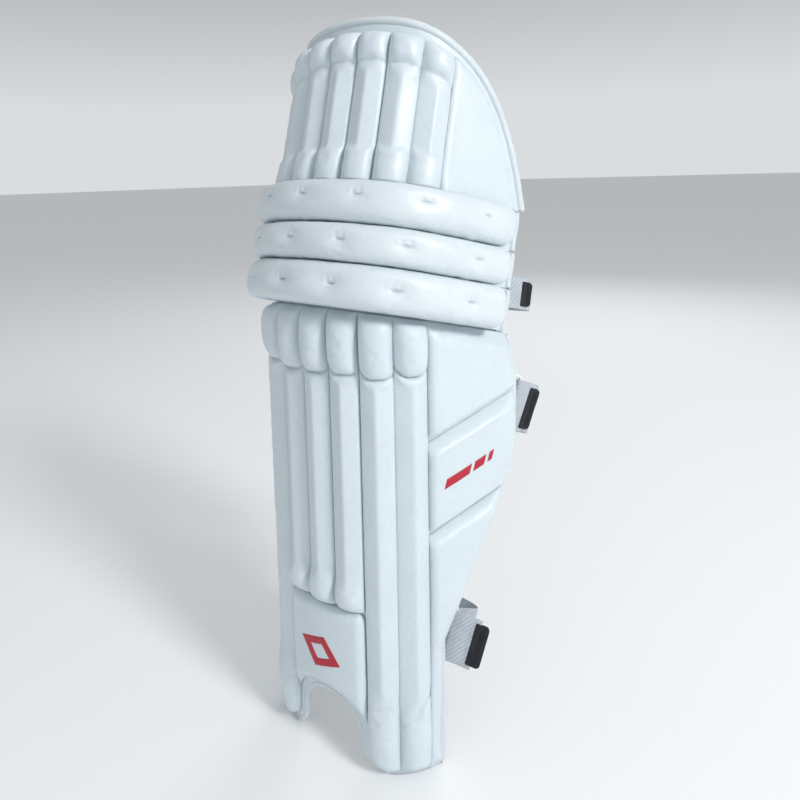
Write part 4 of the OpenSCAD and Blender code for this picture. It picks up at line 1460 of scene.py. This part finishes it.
def make_tab(name, strap, tail_from, width, length, body):
    """Moulded tab: rounded outer corners, raised ribs and a sewn inner edge."""
    r = 4.0
    outline = []
    for cx, cz, start_a in ((length - r, width / 2 - r, 90), (length - r, r - width / 2, 0)):
        for b in np.radians(np.linspace(start_a, start_a - 90, 9)):
            outline.append((cx + r * cos(b), cz + r * sin(b)))
    outline += [(0.6, -width / 2), (0, 0.6 - width / 2), (0, width / 2 - 0.6), (0.6, width / 2)]
    outline = resample(np.array(outline + outline[:1]), 1.2)[:-1]
    inward = outline.mean(0) - outline
    inward /= np.linalg.norm(inward, axis=1)[:, None]
    half = TAB_T / 2
    begin = tail_from + 0.5
    points = [strap.point(begin + x, -LEG_Y + y, z)
              for inset, y in ((0.9, -half), (0.25, 0.3 - half), (0.0, 0.9 - half),
                               (0.0, half - 0.9), (0.25, half - 0.3), (0.9, half))
              for x, z in outline + inward * inset]
    parts = [(np.array(points), tube_faces(len(points) // len(outline), len(outline)))]
    around = np.linspace(0, 2 * pi, RIB_SIDES + 1)[:-1]
    for x in (length * 0.52, length * 0.72):
        for y in (-half, half):
            line = np.array([strap.point(begin + x, -LEG_Y + y, z)
                             for z in np.linspace(4 - width / 2, width / 2 - 4, 12)])
            _, across, up = frames_along(line, strap.swung[1])
            ring = (line[:, None] + RIB_R * (np.cos(around)[:, None] * across[:, None]
                                             + np.sin(around)[:, None] * up[:, None]))
            parts.append((ring.reshape(-1, 3), tube_faces(len(line), RIB_SIDES)))
    obj = join(name + "_pull_tab", parts, RUBBER)
    for polygon in obj.data.polygons:
        polygon.use_smooth = len(polygon.vertices) == 4
    finish_piece(obj, body, [name + "_tab"])
    seam = np.array([strap.point(tail_from - 1.6, -LEG_Y - WEB_T / 2 - 0.1, z)
                     for z in np.linspace(2 - width / 2, width / 2 - 2, 24)])
    thread = join(name + "_tab_thread", stitch_parts(seam, -strap.swung[1]), THREAD)
    finish_piece(thread, body)


make_strap("top_strap", edge=KNEE_HALF, z=20, tilt=0, splay=0, off=-8, leaning=True, pull=52,
           width=30, tail_from=12, tab_w=24, tab_len=12, keeper=24, sewn_len=42,
           parent="knee_lower")
make_strap("middle_strap", edge=WING_MAX, z=350, tilt=22, splay=0, off=-12, leaning=False, pull=52,
           width=50, tail_from=12, tab_w=42, tab_len=13, keeper=24, sewn_len=42, parent="shin")
make_strap("bottom_strap", edge=130, z=126, tilt=20, splay=40, off=-12, leaning=False, pull=45,
           width=50, tail_from=20, tab_w=42, tab_len=14, keeper=15, sewn_len=24, parent="shin")

# ---------------------------------------------------------------- stitching

def seam_line(point, s, low, high, off):
    z = np.linspace(low, high, int((high - low) / 3))
    return point(np.full_like(z, s), off, z), outward(point, np.full_like(z, s), z)


def make_stitches():
    shin_parts, flap_parts = [], []
    for side in (1, -1):
        for k in (2.5, 3.5):
            s = side * k * PITCH
            path, normal = seam_line(shin, s, 18.0, float(shin_top(s)) - 6,
                                     BASE_OFF + FLAT_SEAM * ROOF_SHOULDER * BAR_H + 0.25)
            shin_parts += stitch_parts(path, normal)
            high = float(dome(plan(s, 0.0)[0])) - RIM_W - 2
            path, normal = seam_line(knee, s, FLAP_Z + 4, high,
                                     BASE_OFF + FLAT_SEAM * ROOF_SHOULDER * 10.2 + 0.2)
            flap_parts += stitch_parts(path, normal)
        z = np.linspace(150, 12, 60)
        s = side * (edge_s(z) - 6.0)
        shin_parts += stitch_parts(shin(s, 4.6, z), outward(shin, s, z))
    finish_piece(join("shin_stitching", shin_parts, THREAD), "shin")
    finish_piece(join("flap_stitching", flap_parts, THREAD), "top_flap")


make_stitches()

# ---------------------------------------------------------------- cloth simulation

SIM_VOXEL = 0.004
SIM_FRAMES = 20
SIM_CAP = 0.0022
SIM_STRETCH = 20
SIM_SHEAR = 8
SIM_BEND = 6
SIM_PRESSURE = 4


def make_proxy(obj):
    """Even copy of a padded piece for the simulation, with its held points."""
    copy = bpy.data.objects.new(obj.name + "_sim", obj.data.copy())
    bpy.context.scene.collection.objects.link(copy)
    remesh = copy.modifiers.new("even", "REMESH")
    remesh.mode = "VOXEL"
    remesh.voxel_size = SIM_VOXEL
    graph = bpy.context.evaluated_depsgraph_get()
    even = bpy.data.meshes.new_from_object(copy.evaluated_get(graph))
    copy.modifiers.clear()
    copy.data = even
    pins = np.zeros(len(obj.data.vertices), np.float32)
    obj.data.attributes["pin"].data.foreach_get("value", pins)
    tree = make_tree(obj.data)
    group = copy.vertex_groups.new(name="pin")
    for vertex in even.vertices:
        held = float(pins[tree.find(vertex.co)[1]])
        if held > 0:
            group.add([vertex.index], held, "REPLACE")
    cloth = copy.modifiers.new("cloth", "CLOTH")
    cloth.settings.quality = 5
    cloth.settings.mass = 0.3
    cloth.settings.tension_stiffness = SIM_STRETCH
    cloth.settings.compression_stiffness = SIM_STRETCH
    cloth.settings.shear_stiffness = SIM_SHEAR
    cloth.settings.bending_stiffness = SIM_BEND
    cloth.settings.shrink_min = -0.004
    cloth.settings.use_pressure = True
    cloth.settings.uniform_pressure_force = SIM_PRESSURE
    cloth.settings.vertex_group_mass = "pin"
    cloth.settings.effector_weights.gravity = 0
    cloth.point_cache.frame_start = 1
    cloth.point_cache.frame_end = SIM_FRAMES
    return copy


def make_tree(mesh):
    tree = KDTree(len(mesh.vertices))
    for vertex in mesh.vertices:
        tree.insert(vertex.co, vertex.index)
    tree.balance()
    return tree


def coordinates(mesh):
    values = np.zeros(3 * len(mesh.vertices), np.float32)
    mesh.vertices.foreach_get("co", values)
    return values.reshape(-1, 3).astype(float)


def apply_sim(obj, copy):
    """Moves the points of a piece as the cloth beside them moved."""
    graph = bpy.context.evaluated_depsgraph_get()
    moved = coordinates(copy.evaluated_get(graph).data) - coordinates(copy.data)
    length = np.linalg.norm(moved, axis=1, keepdims=True)
    moved *= np.minimum(1, SIM_CAP / np.maximum(length, 1e-9))
    tree = make_tree(copy.data)
    points = coordinates(obj.data)
    pins = np.zeros(len(points), np.float32)
    obj.data.attributes["pin"].data.foreach_get("value", pins)
    for n in np.flatnonzero(pins < 0.98):
        near = tree.find_n(points[n], 6)
        share = np.array([1 / (d * d + 1e-7) for _, _, d in near])
        push = (moved[[i for _, i, _ in near]] * share[:, None]).sum(0) / share.sum()
        points[n] += push * (1 - pins[n])
    obj.data.vertices.foreach_set("co", points.ravel())
    obj.data.update()
    mesh = copy.data
    bpy.data.objects.remove(copy)
    bpy.data.meshes.remove(mesh)


def run_sim():
    scene = bpy.context.scene
    scene.frame_set(1)
    proxies = [(obj, make_proxy(obj)) for obj in soft_pieces]
    for step in range(1, SIM_FRAMES + 1):
        scene.frame_set(step)
    for obj, copy in proxies:
        apply_sim(obj, copy)
    scene.frame_set(1)


run_sim()
for obj in bpy.data.objects:
    if obj.type == "MESH" and "pin" in obj.data.attributes:
        obj.data.attributes.remove(obj.data.attributes["pin"])

# ---------------------------------------------------------------- hidden fillings

CORE_WALL = 6.5
CANE_OFF = 2.9
CANE_HALF = 5.4


def make_cores():
    """Foam core inside each knee roll."""
    for part, low, high, _, _, _, body in ROLLS:
        s = np.linspace(9 - ROLL_HALF, ROLL_HALF - 9, 90)
        h = np.full_like(s, (low + high) / 2)
        line = knee(s, ROLL_OUT / 2 - 0.5, h)
        wide = (high - low) / 2 - CORE_WALL
        a = np.linspace(0, 2 * pi, 25)[:-1]
        section = np.stack([wide * np.cos(a), (ROLL_OUT / 2 - CORE_WALL) * np.sin(a)], -1)
        size = 0.55 + 0.45 * rise(ROLL_HALF - 9 - np.abs(s), 12)
        size = size * (1 + 0.02 * noise(s / 6, 0.5, 98))
        obj = sweep("knee_core_%s_foam" % part, line, outward(knee, s, h), section, FOAM,
                    scale=size)
        finish_piece(obj, body, ["knee_core_" + part])


def make_canes(name, point, spans, body):
    """Split canes: flat behind, round in front, with a swelling at each node."""
    parts = []
    for k, low, high in spans:
        z = steps((low, high, 5))
        knot = 1 + 0.05 * np.exp(-((((z + 37 * k) / 95) % 1 - 0.5) / 0.03) ** 2)
        a = np.linspace(0, pi, 9)
        across = np.concatenate([np.cos(a), [-0.6, 0, 0.6]])
        deep = np.concatenate([0.25 + np.sin(a), [0, 0, 0]])
        s = k * PITCH + CANE_HALF * knot[:, None] * across
        off = CANE_OFF + 2.7 * knot[:, None] * deep
        rings = point(s, off, z[:, None] + 0 * s)
        parts.append((rings.reshape(-1, 3), tube_faces(*s.shape)))
    finish_piece(join(name + "_strips", parts, CANE), body, [name])


make_cores()
make_canes("shin_canes", shin, [(k, 196.0 if abs(k) <= 1 else 36.0, 388.0) for k in CHANNELS],
           "shin")
make_canes("flap_canes", knee,
           [(k, FLAP_Z + 18, float(dome(plan(k * PITCH, 0.0)[0])) - 46) for k in CHANNELS],
           "top_flap")

# ---------------------------------------------------------------- floor and light

FLOOR_HALF = 60.0
FLOOR_COLOUR = (0.93, 0.935, 0.94, 1)


def make_stage():
    mesh = bpy.data.meshes.new("floor")
    half = FLOOR_HALF
    mesh.from_pydata([(-half, -half, 0), (half, -half, 0), (half, half, 0), (-half, half, 0)],
                     [], [(0, 1, 2, 3)])
    paper = bpy.data.materials.new("floor")
    paper.use_nodes = True
    paper.node_tree.nodes["Principled BSDF"].inputs["Base Color"].default_value = FLOOR_COLOUR
    paper.node_tree.nodes["Principled BSDF"].inputs["Roughness"].default_value = 0.9
    mesh.materials.append(paper)
    floor = bpy.data.objects.new("floor", mesh)
    bpy.context.scene.collection.objects.link(floor)
    world = bpy.data.worlds.new("studio")
    world.use_nodes = True
    nodes, links = world.node_tree.nodes, world.node_tree.links
    axes = nodes.new("ShaderNodeSeparateXYZ")
    links.new(nodes.new("ShaderNodeTexCoord").outputs["Generated"], axes.inputs[0])
    fade = nodes.new("ShaderNodeValToRGB")
    low, high = fade.color_ramp.elements
    low.position, high.position = 0.10, 0.50
    low.color, high.color = (0.70, 0.72, 0.74, 1), (0.12, 0.13, 0.14, 1)
    links.new(axes.outputs[2], fade.inputs[0])
    links.new(fade.outputs[0], nodes["Background"].inputs[0])
    bpy.context.scene.world = world
    bpy.context.scene.view_settings.view_transform = "Standard"


def make_light(name, place, aim, size, power, colour):
    data = bpy.data.lights.new(name, "AREA")
    data.shape = "DISK"
    data.size = size
    data.energy = power
    data.color = colour
    light = bpy.data.objects.new(name, data)
    light.location = place
    way = Vector(aim) - Vector(place)
    light.rotation_euler = way.to_track_quat("-Z", "Y").to_euler()
    bpy.context.scene.collection.objects.link(light)


def make_sun(strength, angle):
    """Wide, even light straight from above."""
    data = bpy.data.lights.new("overhead", "SUN")
    data.energy = strength
    data.angle = angle
    data.color = (0.97, 0.99, 1.0)
    bpy.context.scene.collection.objects.link(bpy.data.objects.new("overhead", data))


LIGHTS = [
    ("key", (2.36, -0.42, 1.9), (0, 0, 0.35), 0.7, 48, (1.0, 0.99, 0.97)),
    ("fill", (0.3, -2.6, 1.9), (0, 0, 0.4), 1.6, 4.5, (0.94, 0.97, 1.0)),
    ("back", (-0.6, 2.4, 1.8), (0, 0, 0.4), 1.6, 15, (0.95, 0.98, 1.0))]
SUN_STRENGTH = 1.02
SUN_ANGLE = radians(100)

make_stage()
for light_values in LIGHTS:
    make_light(*light_values)
make_sun(SUN_STRENGTH, SUN_ANGLE)
